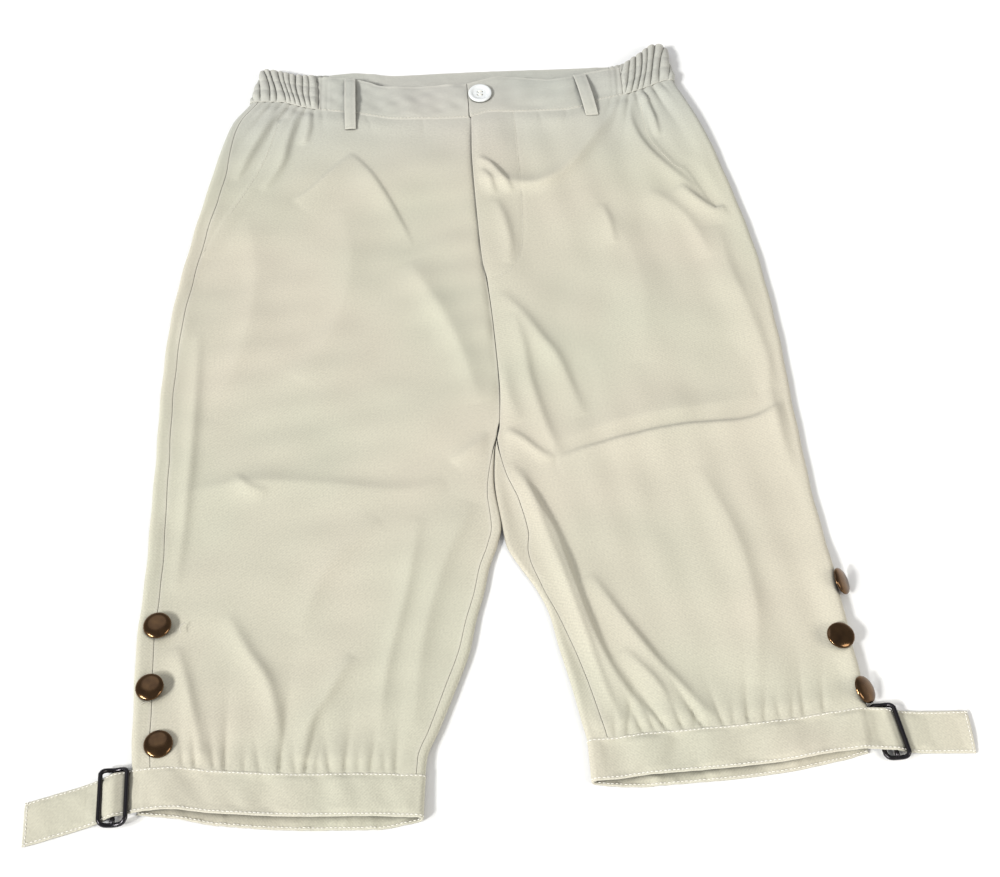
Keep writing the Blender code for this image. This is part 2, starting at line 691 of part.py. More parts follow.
def waist_button(collection):
    """A four-hole button on the lapped end of the waistband."""
    r, t = WAIST_BUTTON_RADIUS, WAIST_BUTTON_THICKNESS
    profile = [(0, t * 0.6), (r * 0.62, t * 0.6), (r * 0.74, t), (r * 0.93, t), (r, t * 0.7), (r, t * 0.3)]
    profile += [(r * 0.93, 0), (0, 0)]
    made = turned("waist_button", profile, 24, "plastic", collection)
    across, down = WAIST_BUTTON_AT
    near = np.array([-0.9, 0, 0.9]) * r
    highest = float(top_height(LEFT, across + near, down + near[:, None]).max())
    x, y, z = to_points(across, down, highest + BAND / 2 + SEAT_GAP)
    made.location = (float(x), float(y), float(z))
    for number, (dx, dy) in enumerate(((-1, -1), (1, -1), (-1, 1), (1, 1))):
        shape = bmesh.new()
        hole = THREAD_HOLE_RADIUS * MM
        bmesh.ops.create_cone(shape, cap_ends=True, segments=8, radius1=hole, radius2=hole, depth=8 * MM)
        mesh = bpy.data.meshes.new(f"thread_hole_{number}")
        shape.to_mesh(mesh)
        shape.free()
        offset = THREAD_HOLE_OFFSET * MM
        drill = helper(mesh)
        drill.location = (float(x) + dx * offset, float(y) + dy * offset, float(z) + t / 2 * MM)
        cut = made.modifiers.new(drill.name, "BOOLEAN")
        cut.object = drill


def helper(mesh):
    """An object that only a Boolean uses."""
    made = bpy.data.objects.new(mesh.name, mesh)
    bpy.data.collections["helpers"].objects.link(made)
    made.hide_render = True
    made.display_type = "WIRE"
    return made


def buckle_lean(side, across):
    """Sideways lean of the buckle, and of the strap close to it, for each millimetre down."""
    rods = RIGHT_RODS if side == RIGHT else LEFT_RODS
    return math.tan(math.radians(BUCKLE_TURN[side])) * np.exp(-(((across - rods[1][0]) / BUCKLE_REACH) ** 4))


def knee_band(side, collection):
    """One strip: strap tail, buckle, front of the knee, inner fold and back."""
    strap = np.array(RIGHT_STRAP if side == RIGHT else LEFT_STRAP)
    tail = len(strap)
    front_count, fold_count, back_count = 18, 7, 14
    count = tail + front_count + fold_count + back_count
    share = np.linspace(0, 1, 5)[:, None]
    front = np.array([*np.zeros(tail), *np.linspace(0, 1, front_count), *np.ones(fold_count + back_count)])
    angle = np.array([*np.ones(tail + front_count), *np.linspace(0.7, -1, fold_count), *-np.ones(back_count)])
    back = np.array([*np.zeros(count - back_count), *np.linspace(0.1, 1, back_count)])
    down = np.full((len(share), count), 630.0)
    start = strap[-1, 0] - side * 7
    back_end = float(outer_edge(side, 640)) - side * 2.5
    for _ in range(ROUNDS):
        depth, _, quarter = fold_size(side, "inner", down, BAND)
        across = start + (inner_edge(side, down) + side * depth - start) * front
        fold_across, fold_height = section_point(side, "inner", angle * quarter, down, BAND)
        across = np.where(angle < 1, fold_across, across)
        across = across + (back_end - across) * back
        height = np.where(angle < 1, fold_height, top_height(side, across, down))
        height = np.where(back > 0, BAND / 2, height)
        lean = buckle_lean(side, strap[:, 0]) * KNEE_BAND_WIDTH * (share - 0.5)
        across[:, :tail] = strap[:, 0] + lean
        height[:, :tail] = strap[:, 1]
        down = knee_line(side, across, np.where(angle < 1, 1, 0)) + KNEE_GAP + KNEE_BAND_WIDTH * share
    name = "knee_band_right" if side == RIGHT else "knee_band_left"
    cloth(name, to_points(across, down, height), BAND, collection)


def buckle(side, collection):
    """A three-bar slide: a bent frame of round rod, and a middle bar joined to it."""
    rods = RIGHT_RODS if side == RIGHT else LEFT_RODS
    name = "buckle_right" if side == RIGHT else "buckle_left"
    centre = KNEE_BAND_WIDTH / 2
    middle_down = float(knee_line(side, rods[1][0])) + KNEE_GAP + centre
    half = BUCKLE_LENGTH / 2 - BUCKLE_ROD
    (x0, z0), (x1, z1), (x2, z2) = rods
    low, high = ((x0 + x1) / 2, (z0 + 3 * z1) / 4), ((x1 + x2) / 2, (z2 + 3 * z1) / 4)
    ends = [(x0, z0), low, (x1, z1), high, (x2, z2)]
    ring = [(x, -half, z) for x, z in ends] + [(x, half, z) for x, z in ends[::-1]]
    lean = math.tan(math.radians(BUCKLE_TURN[side]))

    def place(x, offset, z):
        return to_points(np.float64(x + lean * offset), np.float64(middle_down + offset), np.float64(z))

    frame = rod_mesh(name, [place(*p) for p in ring], True)
    bar = rod_mesh(name + "_bar", [place(x1, -half, z1), place(x1, half, z1)], False)
    made = add_object(name, frame, "gunmetal", collection)
    join = made.modifiers.new("bar", "BOOLEAN")
    join.operation = "UNION"
    join.object = helper(bar)


def rod_mesh(name, points, closed):
    """Round rod along a path, as a closed mesh."""
    curve = bpy.data.curves.new(name, "CURVE")
    curve.dimensions = "3D"
    spline = curve.splines.new("POLY")
    spline.points.add(len(points) - 1)
    for knot, point in zip(spline.points, points):
        knot.co = (*[float(v) for v in point], 1)
    spline.use_cyclic_u = closed
    curve.bevel_depth = BUCKLE_ROD * MM
    curve.bevel_resolution = 1
    curve.use_fill_caps = not closed
    holder = bpy.data.objects.new(name + "_path", curve)
    bpy.context.scene.collection.objects.link(holder)
    graph = bpy.context.evaluated_depsgraph_get()
    mesh = bpy.data.meshes.new_from_object(holder.evaluated_get(graph))
    bpy.data.objects.remove(holder)
    shape = bmesh.new()
    shape.from_mesh(mesh)
    bmesh.ops.remove_doubles(shape, verts=shape.verts, dist=0.000001)
    bmesh.ops.recalc_face_normals(shape, faces=shape.faces)
    shape.to_mesh(mesh)
    shape.free()
    return mesh


def main():
    for item in list(bpy.data.objects):
        bpy.data.objects.remove(item)
    trousers = bpy.data.collections.new("cropped_trousers")
    for collection in (trousers, bpy.data.collections.new("helpers")):
        bpy.context.scene.collection.children.link(collection)
    for side in (RIGHT, LEFT):
        front_panel(side, trousers)
        back_panel(side, trousers)
        front_waistband(side, trousers)
        side_waistband(side, trousers)
        knee_band(side, trousers)
        buckle(side, trousers)
    back_waistband(trousers)
    for name, side, top, bottom, width in BELT_LOOPS:
        belt_loop(name, side, top, bottom, width, trousers)
    waist_button(trousers)
    for name, across, down, turn in DOME_BUTTONS:
        dome_button(name, across, down, turn, trousers)


main()
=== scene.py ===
# %% [markdown]
# Cropped trousers with knee bands, laid flat
#
# The real garment is a pair of costume knee breeches in pale stone cotton twill. Each front and back
# is one cut panel, the waist is a faced band with gathered elastic sides, and each leg ends in a
# buckled band below three domed buttons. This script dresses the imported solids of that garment:
# every cut piece is modelled again as a thin shell of cloth with its creases, gathers and stitches.

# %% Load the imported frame
import math

import bpy
import numpy as np
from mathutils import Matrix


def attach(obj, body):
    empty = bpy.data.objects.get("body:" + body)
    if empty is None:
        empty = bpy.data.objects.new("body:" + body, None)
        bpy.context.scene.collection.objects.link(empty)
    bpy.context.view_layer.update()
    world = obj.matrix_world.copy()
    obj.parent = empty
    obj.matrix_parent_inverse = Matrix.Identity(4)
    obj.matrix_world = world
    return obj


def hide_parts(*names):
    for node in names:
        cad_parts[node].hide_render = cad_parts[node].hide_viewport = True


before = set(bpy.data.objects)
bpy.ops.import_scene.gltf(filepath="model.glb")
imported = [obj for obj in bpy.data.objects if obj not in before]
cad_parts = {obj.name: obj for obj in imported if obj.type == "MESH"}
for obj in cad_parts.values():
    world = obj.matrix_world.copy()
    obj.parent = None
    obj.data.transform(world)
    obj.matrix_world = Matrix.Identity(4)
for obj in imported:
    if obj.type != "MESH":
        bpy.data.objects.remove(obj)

bpy.context.view_layer.update()

# %% [markdown]
# Camera
#
# A photograph's perspective can be found by eye, or solved from lengths that are known on a flat
# surface. Here it was solved, because the whole garment lies in one plane: the photographer stood at
# the hems and looked down steeply. The numbers are that solution, in metres and degrees.


# %% The photographer's place
CAMERA_AT = (-0.0348, -0.7843, 1.140)
CAMERA_TILT = 33.0
CAMERA_TURN = -3.9
FOCAL_PIXELS = 1785.0
PHOTO_WIDTH = 1000
SENSOR_WIDTH = 36.0


def link(name, data, place=(0, 0, 0), turn=(0, 0, 0)):
    """An object in the scene that holds some data, at a place and turned by X, Y and Z angles."""
    holder = bpy.data.objects.new(name, data)
    holder.location = place
    holder.rotation_euler = turn
    bpy.context.scene.collection.objects.link(holder)
    return holder


lens = bpy.data.cameras.new("photographer")
lens.sensor_width = SENSOR_WIDTH
lens.lens = FOCAL_PIXELS / PHOTO_WIDTH * SENSOR_WIDTH
turn = (math.radians(CAMERA_TILT), 0, math.radians(CAMERA_TURN))
bpy.context.scene.camera = link("photographer", lens, CAMERA_AT, turn)
print("lens in millimetres:", round(lens.lens, 2))

# %% [markdown]
# Colours and nodes
#
# Colours are written as the hex codes that a picture editor shows, which are sRGB. Blender's sockets
# take linear light, so one function turns them. A few more add a node with its settings and links and
# return what it puts out, so that a material reads from top to bottom like a recipe.


# %% Helpers for materials
def linear(code):
    """An sRGB hex code as linear red, green, blue and alpha. A channel c becomes c / 12.92 up to
    0.04045, and ((c + 0.055) / 1.055) to the power 2.4 above it."""
    channel = np.array([int(code[start : start + 2], 16) for start in (1, 3, 5)]) / 255
    light = np.where(channel <= 0.04045, channel / 12.92, ((channel + 0.055) / 1.055) ** 2.4)
    return (*light.tolist(), 1.0)


def plug(tree, node, inputs):
    """Fills sockets: a number or a colour is set, and another node's output is linked."""
    for socket, value in inputs.items():
        if isinstance(value, bpy.types.NodeSocket):
            tree.links.new(value, node.inputs[socket])
        else:
            node.inputs[socket].default_value = value


def add_node(tree, kind, output, inputs, **settings):
    """A new shader node. Returns its output of that name or number."""
    node = tree.nodes.new("ShaderNode" + kind)
    for name, value in settings.items():
        setattr(node, name, value)
    plug(tree, node, inputs)
    return node.outputs[output]


def map_range(tree, value, before, after, way="LINEAR"):
    """Carries a value from one range over to another."""
    ends = {"From Min": before[0], "From Max": before[1], "To Min": after[0], "To Max": after[1]}
    return add_node(tree, "MapRange", "Result", {"Value": value, **ends}, interpolation_type=way)


def mix(tree, way, share, one, other):
    """Mixes two colours, in the way MIX or MULTIPLY."""
    return add_node(tree, "Mix", 2, {0: share, 6: one, 7: other}, data_type="RGBA", blend_type=way)


def colour_ramp(tree, value, stops):
    """A colour for each value, blended between stops of (position, colour)."""
    colour = add_node(tree, "ValToRGB", "Color", {"Fac": value})
    elements = colour.node.color_ramp.elements
    for _ in stops[2:]:
        elements.new(1.0)
    for element, (position, shade) in zip(elements, stops):
        element.position = position
        element.color = shade
    return colour


def new_material(name):
    """A material with a Principled surface, and its node tree."""
    material = bpy.data.materials.new(name)
    material.use_nodes = True
    return material, material.node_tree


def surface(material, inputs):
    """Fills the Principled surface of a material, and returns the material."""
    plug(material.node_tree, material.node_tree.nodes["Principled BSDF"], inputs)
    return material


print("linear stone:", [round(value, 3) for value in linear("#D8D2C0")])

# %% [markdown]
# Light and floor
#
# Cloth shows its creases only when the light comes mostly from one side. A soft lamp stands to the left
# and daylight comes from above the camera's left shoulder. Weaker lamps opposite fill the shadows, and
# a pale sky, brightest at the horizon, gives the rest. The floor is plain white paper.

# %% Lamps, sky and paper
ZENITH = 0.30
HORIZON = 0.88
HORIZON_BAND = 0.45
LAMPS = (
    # name, place, width, power, colour
    ("key_lamp", (-2.5, -0.95, 2.0), 0.6, 38.0, "#FFFDF9"),
    ("window", (-0.7, 0.95, 1.6), 1.5, 4.0, "#E4ECFF"),
    ("far_lamp", (1.3, -0.95, 1.3), 1.0, 15.0, "#FFFAF2"),
)
DAYLIGHT_AT = (-2.2, -1.6, 2.05)
DAYLIGHT_STRENGTH = 2.25
DAYLIGHT_SPREAD = 0.16
FLOOR_HALF = 40.0
FLOOR_DEPTH = -0.0003


def add_lamp(name, kind, at, energy, shade, **settings):
    """Hangs a lamp at a place, with its -Z axis towards the origin."""
    lamp = bpy.data.lights.new(name, kind)
    lamp.color = linear(shade)[:3]
    lamp.energy = energy
    for setting, value in settings.items():
        setattr(lamp, setting, value)
    turn = (math.atan2(math.hypot(at[0], at[1]), at[2]), 0, math.atan2(at[0], -at[1]))
    link(name, lamp, at, turn)


sky = bpy.data.worlds.new("pale_sky")
sky.use_nodes = True
tree = sky.node_tree
way = add_node(tree, "TexCoord", "Generated", {})
height = add_node(tree, "SeparateXYZ", "Z", {"Vector": way})
glow = map_range(tree, height, (0.0, HORIZON_BAND), (HORIZON, ZENITH), "SMOOTHSTEP")
plug(tree, tree.nodes["Background"], {"Color": linear("#FBFCFF"), "Strength": glow})
bpy.context.scene.world = sky
for name, at, width, power, shade in LAMPS:
    add_lamp(name, "AREA", at, power, shade, shape="DISK", size=width)
add_lamp("daylight", "SUN", DAYLIGHT_AT, DAYLIGHT_STRENGTH, "#FFFFFF", angle=DAYLIGHT_SPREAD)

paper, _ = new_material("white_matt_paper")
surface(paper, {"Base Color": linear("#FAFAF8"), "Roughness": 0.9})
corners = [(x * FLOOR_HALF, y * FLOOR_HALF, FLOOR_DEPTH) for x, y in ((-1, -1), (1, -1), (1, 1), (-1, 1))]
sheet_of_paper = bpy.data.meshes.new("paper_floor")
sheet_of_paper.from_pydata(corners, [], [(0, 1, 2, 3)])
sheet_of_paper.materials.append(paper)
floor = link("paper_floor", sheet_of_paper)
bpy.context.scene.view_settings.view_transform = "Standard"
print("lamps:", len(LAMPS), "floor half width:", FLOOR_HALF)

# %% [markdown]
# A tailor's coordinates
#
# A tailor measures a garment across and down. Across is counted in millimetres from the fly line,
# positive towards the wearer's left leg, and down from the top edge of the front waistband. Each edge
# and seam of the pattern is a short table of measurements, read along a smooth curve.


# %% Reading a pattern
MM = 0.001
CENTRE_ACROSS = -11.5
CENTRE_DOWN = 316.0
RIGHT = -1
LEFT = 1


def to_points(across, down, height):
    """Millimetres on the garment as points in the frame: across is X, up the garment is Y."""
    return np.stack([(across - CENTRE_ACROSS) * MM, (CENTRE_DOWN - down) * MM, height * MM], axis=-1)


def smooth(table, column, at):
    """Reads a column of a table at any place. Between two rows it is the cubic that has the rows'
    values and slopes, and a row's slope is the harmonic mean of the slopes beside it."""
    rows = np.array(sorted(table), float)
    knots, values = rows[:, 0], rows[:, column]
    rise = np.diff(values) / np.diff(knots)
    product = rise[:-1] * rise[1:]
    mean = 2 * product / np.where(product > 0, rise[:-1] + rise[1:], 1)
    slopes = np.concatenate([rise[:1], np.where(product > 0, mean, 0), rise[-1:]])
    at = np.clip(at, knots[0], knots[-1])
    low = np.clip(np.searchsorted(knots, at) - 1, 0, len(knots) - 2)
    span = knots[low + 1] - knots[low]
    t = (at - knots[low]) / span
    start = (2 * t**3 - 3 * t**2 + 1) * values[low] + (t**3 - 2 * t**2 + t) * span * slopes[low]
    end = (3 * t**2 - 2 * t**3) * values[low + 1] + (t**3 - t**2) * span * slopes[low + 1]
    return start + end


def ramp(value, start, end):
    """Rises from 0 at start to 1 at end along t * t * (3 - 2 * t)."""
    t = np.clip((value - start) / (end - start), 0, 1)
    return t * t * (3 - 2 * t)


def hill(value, width, power=2.0):
    """1 at zero, falling off on both sides as exp(-|value / width| ** power)."""
    return np.exp(-np.abs(value / width) ** power)


# %% The outline
# Each row: down, then the edge's across on the right side and on the left side.
OUTER_EDGE = (
    (-45, -172, 175), (-10, -181, 177), (8, -187, 180), (30, -202, 188), (57, -211, 197), (84, -218, 204),
    (115, -225, 210), (150, -233, 217), (200, -243, 224), (270, -252, 229), (340, -255, 230),
    (405, -257, 231), (470, -260, 235), (540, -264, 239), (600, -263, 241), (675, -260, 240),
)
INNER_EDGE = (
    (-45, -1, -1), (0, -1, -1), (30, 3, 3), (86, 1, 1), (167, 2, 2), (254, 6, 6), (312, 7, 7), (345, 5, 5),
    (376, -1, -1), (404, -3, -3), (440, 0, 0), (456, -4, 2), (474, -11, 10), (494, -16, 21),
    (516, -23, 29), (540, -29, 33), (570, -41, 39), (600, -54, 44), (620, -63, 47), (675, -69, 47),
)
# Where the side seam and the inseam lie, along the cloth from the fold: down, right, left.
SIDE_SEAM = ((-45, 9, 0), (38, 9, 0), (94, 13, 0), (200, 12, 0), (314, 11, 0), (454, 13, 0), (675, 15, 0))
INSEAM = (
    (362, 0, 0), (394, 4, 9), (420, 7, 17), (446, 8, 19), (474, 8, 10), (500, 8, 5), (552, 9, 12),
    (608, 8, 15), (675, 7, 17),
)
# Seam and top edge of the front waistband: across, down.
WAIST_SEAM = (
    (-200, 8), (-178, 9), (-162, 10), (-145, 16), (-125, 22), (-95, 28), (-60, 36), (0, 38), (18, 34),
    (78, 35), (95, 33), (113, 26), (135, 21), (155, 14), (175, 7), (200, 6),
)
FRONT_WAIST_EDGE = (
    (-200, -29), (-172, -27), (-145, -19), (-110, -15), (-94, -12), (-67, -2), (0, -1), (29, -7),
    (47, -5), (81, -1), (104, -7), (134, -12), (150, -23), (168, -35), (180, -31), (200, -30),
)
# Back waistband: across, top edge, seam.
BACK_WAISTBAND = (
    (-200, -31, 8), (-172, -31, 8), (-150, -27, 9), (-125, -25, 10), (-100, -27, 10.5), (-60, -21, 11),
    (0, -21, 11), (60, -20, 10.5), (125, -19, 9), (150, -26, 8), (168, -37, 7), (180, -31, 6), (200, -30, 6),
)
# Top edge of each knee band: across, down, and how much lower it lies on the back.
KNEE_LINE = {
    RIGHT: (
        (-345, 634, 0), (-333, 632, 0), (-285, 620, 0), (-262, 615, 0), (-240, 615, 3), (-205, 620, 6),
        (-150, 626, 7), (-100, 629, 7), (-80, 631, 3), (-66, 632, 0), (-55, 632, 0),
    ),
    LEFT: (
        (35, 614, 0), (47, 614, 0), (60, 614, 2), (90, 612, 6), (134, 611, 6), (180, 609, 5),
        (220, 605, 3), (240, 604, 0), (262, 606, 0), (310, 609, 0), (322, 610, 0),
    ),
}
CROTCH = 362.0
KNEE_BAND_WIDTH = 31.0


def of_side(side):
    """The table column that belongs to a side."""
    return 1 if side == RIGHT else 2


def outer_edge(side, down):
    """The outer fold, with a slight unrest that a laid leg always has."""
    unrest = 0.45 * np.sin(down / 9.1 + side) * np.sin(down / 23.0 + 2 * side)
    return smooth(OUTER_EDGE, of_side(side), down) + unrest * ramp(down, 60, 100)


def inner_edge(side, down):
    """The fly line or the inner fold. Below the crotch the two legs stand a wall apart."""
    apart = 0.02 + 0.6 * ramp(down, CROTCH - 14, CROTCH - 4)
    return smooth(INNER_EDGE, of_side(side), down) + side * apart


def knee_line(side, across, drop=0):
    """Down of the knee band's top edge. With drop 1 it is the edge on the back of the leg."""
    return smooth(KNEE_LINE[side], 1, across) + drop * smooth(KNEE_LINE[side], 2, across)


print("hip width in millimetres:", float(outer_edge(LEFT, 340) - outer_edge(RIGHT, 340)))

# %% [markdown]
# How the cloth lies
#
# A leg laid flat is a tube pressed down: two layers joined by two round folds. Its section could be
# drawn as an ellipse, but real cloth lies almost flat in the middle and stands up a little at the
# folds. So the top layer has a rest height, lifted near each fold, and each fold is half an ellipse.

# %% Section of a leg
CLOTH = 1.0
BAND = 2.0
# Height of the middle of the top layer where it lies free: down, height.
REST_HEIGHT = ((-45, 8.4), (10, 8.2), (38, 6.8), (75, 4.6), (130, 3.6), (500, 3.5), (560, 4.4), (620, 7.4),
               (675, 9.2))
# Height of the outer and the inner folds: down, height on the right and on the left.
OUTER_FOLD = ((-45, 8.6, 8.6), (38, 8.4, 8.4), (110, 6.6, 6.6), (460, 5.8, 6.2), (500, 6.2, 9.2),
              (675, 8.8, 9.4))
INNER_FOLD = ((362, 2.8), (410, 3.4), (450, 4.4), (520, 5.4), (620, 7.4), (675, 9.2))
# Half depth of the folds: down, outer, inner.
FOLD_DEPTH = ((-45, 4.0, 0.05), (348, 3.2, 0.05), (362, 3.2, 1.2), (410, 3.2, 1.6), (480, 3.6, 2.2),
              (675, 4.2, 3.4))
# The front of a knee band arches up beside its buckle: across, half width, rise.
KNEE_ARCH = {RIGHT: (-236, 14, 1.5), LEFT: (208, 26, 3.0)}
LAP_RISE = 1.6
LAP_WIDTH = 30.0


def top_height(side, across, down):
    """Middle of the top layer: rest height, plus a hill along each fold, the arch of the knee band
    and, on the left front, the lap over the fly."""
    rest = smooth(REST_HEIGHT, 1, down)
    from_outer = across - outer_edge(side, down)
    from_inner = across - inner_edge(side, down)
    height = rest + (smooth(OUTER_FOLD, of_side(side), down) - rest) * hill(from_outer, 14)
    inner_rise = (smooth(INNER_FOLD, 1, down) - rest) * ramp(down, CROTCH - 20, CROTCH + 30)
    height = height + inner_rise * hill(from_inner, 10)
    middle, width, rise = KNEE_ARCH[side]
    height = height + rise * hill(across - middle, width) * ramp(down, 606, 638)
    if side == LEFT:
        lap = hill(from_inner, LAP_WIDTH, 4) * (1 - ramp(down, 200, 230)) * ramp(down, -20, 10)
        height = height + LAP_RISE * lap
    return height


def fold_size(side, end, down, wall):
    """Half depth, half height and quarter arc of the half ellipse that joins top and bottom."""
    depth = smooth(FOLD_DEPTH, 1 if end == "outer" else 2, down)
    edge = outer_edge(side, down) - side * depth if end == "outer" else inner_edge(side, down) + side * depth
    half = (top_height(side, edge, down) - wall / 2) / 2
    return depth, half, math.pi / 2 * np.sqrt((depth**2 + half**2) / 2)


def section_point(side, end, arc, down, wall=CLOTH):
    """Across and height at a distance along the cloth from the fold's outermost point: over the top
    if the distance is positive, and along the bottom if it is negative."""
    depth, half, quarter = fold_size(side, end, down, wall)
    angle = np.clip(arc / quarter, -1, 1) * math.pi / 2
    inset = depth * (1 - np.cos(angle)) + np.maximum(np.abs(arc) - quarter, 0)
    edge = outer_edge(side, down) if end == "outer" else inner_edge(side, down)
    across = edge - side * inset if end == "outer" else edge + side * inset
    round_part = wall / 2 + half * (1 + np.sin(angle))
    height = np.where(arc > quarter, top_height(side, across, down), round_part)
    return across, np.where(arc < -quarter, wall / 2, height)


print("thickness of a leg in millimetres:", round(float(top_height(RIGHT, -130, 300)) + CLOTH / 2, 2))

# %% [markdown]
# Creases
#
# A crease can be sculpted, simulated, or placed by hand. These are placed one by one, because they are
# the story of this one garment: how it was folded in its packet and how the legs were pulled
# straight. Each crease is a ridge along a smooth curve. It is steep on the left hand of somebody who
# walks along the curve and gentle on the right, so that one side catches the light.

# %% Crease tables
# Each row: rise, width of the steep side, width of the gentle side, then across and down of points.
CREASES = {
    RIGHT: (
        (1.5, 2.5, 12, ((-150, 118), (-133, 104), (-114, 84), (-101, 71))),
        (1.0, 1.6, 13, ((-102, 69), (-87, 93), (-71, 127), (-61, 152), (-54, 172))),
        (1.9, 11, 10, ((-58, 190), (-39, 231), (-28, 257), (-18, 290), (-10, 330))),
        (1.3, 8, 14, ((-250, 408), (-225, 396), (-180, 392), (-133, 396), (-73, 405), (-40, 399))),
        (1.8, 3.0, 7, ((-147, 16), (-151, 36), (-156, 56), (-161, 78), (-176, 104))),
        (1.4, 2.5, 5, ((-136, 23), (-137, 40), (-142, 58))),
        (1.5, 2.5, 6, ((-163, 12), (-172, 34), (-186, 62), (-199, 92))),
        (1.8, 5, 8, ((-201, 500), (-186, 530), (-170, 560), (-160, 612))),
        (1.7, 4.5, 7, ((-236, 524), (-226, 560), (-215, 616))),
        (1.9, 5, 7, ((-112, 540), (-128, 566), (-142, 590), (-147, 618))),
        (1.5, 7, 10, ((-20, 420), (-44, 470), (-62, 530), (-72, 600))),
        (0.9, 14, 16, ((-150, 300), (-120, 250), (-105, 190), (-112, 130))),
        (0.9, 12, 16, ((-215, 330), (-190, 260), (-182, 190), (-190, 130))),
        (1.1, 5, 8, ((-33, 383), (-18, 372), (-4, 360))),
        (0.8, 9, 12, ((-90, 430), (-130, 470), (-150, 520))),
        (0.7, 3, 6, ((-196, 384), (-186, 396), (-172, 402))),
        (1.3, 4, 7, ((-226, 250), (-228, 330), (-232, 410), (-238, 480))),
        (1.2, 5, 7, ((-60, 430), (-72, 490), (-88, 550), (-96, 606))),
    ),
    LEFT: (
        (2.4, 2.2, 15, ((44, 386), (79, 376), (125, 367), (156, 363), (187, 362), (211, 356), (230, 343))),
        (1.2, 16, 9, ((40, 372), (90, 356), (150, 346), (205, 338))),
        (2.9, 6, 9, ((134, 26), (110, 57), (90, 86), (72, 104), (55, 113), (38, 113), (16, 108), (4, 104))),
        (1.9, 2, 5, ((4, 82), (14, 90), (22, 104), (31, 121))),
        (1.1, 2, 5, ((6, 96), (12, 106), (16, 122))),
        (1.1, 4, 6, ((16, 128), (22, 150), (25, 178), (22, 196))),
        (1.7, 5, 10, ((13, 225), (28, 246), (42, 272), (55, 297), (69, 348))),
        (1.3, 4, 8, ((22, 248), (28, 280), (31, 314), (39, 352), (48, 384))),
        (1.0, 8, 9, ((4, 300), (14, 330), (20, 352))),
        (1.3, 3, 5, ((6, 356), (20, 366), (34, 380), (44, 386))),
        (2.8, 3.5, 9, ((10, 386), (29, 427), (38, 449), (46, 483), (58, 532), (73, 572), (93, 604))),
        (2.2, 4, 10, ((60, 486), (91, 542), (115, 578), (134, 606))),
        (1.7, 7, 16, ((196, 168), (200, 217), (207, 248), (216, 300), (222, 332))),
        (2.6, 2.5, 6, ((150, 9), (153, 26), (157, 44), (160, 66))),
        (1.3, 3, 9, ((140, 20), (138, 50), (150, 84), (170, 112), (184, 128))),
        (2.2, 4, 8, ((170, 124), (184, 142), (196, 152), (205, 149))),
        (0.9, 6, 10, ((142, 128), (160, 142), (176, 166), (186, 200))),
        (0.8, 14, 16, ((90, 120), (120, 180), (128, 240), (120, 300))),
        (0.7, 3, 6, ((104, 140), (108, 160), (110, 182))),
        (1.3, 7, 12, ((150, 400), (170, 460), (176, 520), (168, 580))),
        (0.9, 5, 8, ((222, 290), (214, 330), (216, 372), (224, 410))),
        (1.9, 3.5, 6, ((18, 392), (27, 430), (35, 462), (44, 498), (54, 540), (62, 574), (72, 606))),
        (1.4, 4, 8, ((78, 548), (100, 578), (112, 608))),
    ),
}


def curve_through(points):
    """Catmull-Rom curve: between b and c its tangents are half of c - a and half of d - b."""
    points = np.array(points, float)
    ends = np.concatenate([[2 * points[0] - points[1]], points, [2 * points[-1] - points[-2]]])
    t = np.linspace(0, 1, 9)[:-1, None]
    parts = []
    for a, b, c, d in zip(ends, ends[1:], ends[2:], ends[3:]):
        square, cube = (2 * a - 5 * b + 4 * c - d) * t**2, (3 * b - a - 3 * c + d) * t**3
        parts.append((2 * b + (c - a) * t + square + cube) / 2)
    return np.concatenate([*parts, points[-1:]])


def beside(curve, across, down):
    """Distance from a curve, negative on its left hand, and the share of its length that is passed at
    the nearest point. Each point is dropped onto every piece of the curve, and the nearest kept."""
    start, step = curve[:-1], np.diff(curve, axis=0)
    length = np.hypot(step[:, 0], step[:, 1])
    dx, dy = across[..., None] - start[:, 0], down[..., None] - start[:, 1]
    along = np.clip((dx * step[:, 0] + dy * step[:, 1]) / length**2, 0, 1)
    dx, dy = dx - along * step[:, 0], dy - along * step[:, 1]
    nearest = np.hypot(dx, dy).argmin(axis=-1)[..., None]
    dx, dy, along = (np.take_along_axis(values, nearest, -1)[..., 0] for values in (dx, dy, along))
    nearest = nearest[..., 0]
    hand = np.sign(step[nearest, 0] * dy - step[nearest, 1] * dx)
    passed = np.cumsum(length)[nearest] - length[nearest] * (1 - along)
    return hand * np.hypot(dx, dy), passed / length.sum()


def crease_relief(creases, across, down):
    """Sum of the ridges: rise ** 0.7, times a hill across the curve, times sin(pi * share) ** 0.6 along
    it. The power lifts the low ridges a little, so that they show under the soft lamps too."""
    total = np.zeros(across.shape)
    for rise, steep, gentle, points in creases:
        curve = curve_through(points)
        reach = 3 * max(steep, gentle)
        low, high = curve.min(axis=0) - reach, curve.max(axis=0) + reach
        near = (across > low[0]) & (across < high[0]) & (down > low[1]) & (down < high[1])
        away, share = beside(curve, across[near], down[near])
        ridge = hill(away, np.where(away < 0, steep, gentle), 1.5)
        total[near] += rise**0.7 * ridge * np.clip(np.sin(math.pi * share), 0, 1) ** 0.6
    return total


def soft_waves(across, down, length, seed, count=7):
    """Even, gentle unrest: the sum of sine waves in seeded directions, of about the given length."""
    total = 0
    waves = np.random.default_rng(seed).uniform((0, 0.7, 0), (3.14, 1.4, 6.28), (count, 3))
    for turn, stretch, phase in waves:
        along = across * math.cos(turn) + down * math.sin(turn)
        total = total + np.sin(2 * math.pi * along / (length * stretch) + phase)
    return total / math.sqrt(count)


print("creases:", {side: len(rows) for side, rows in CREASES.items()})

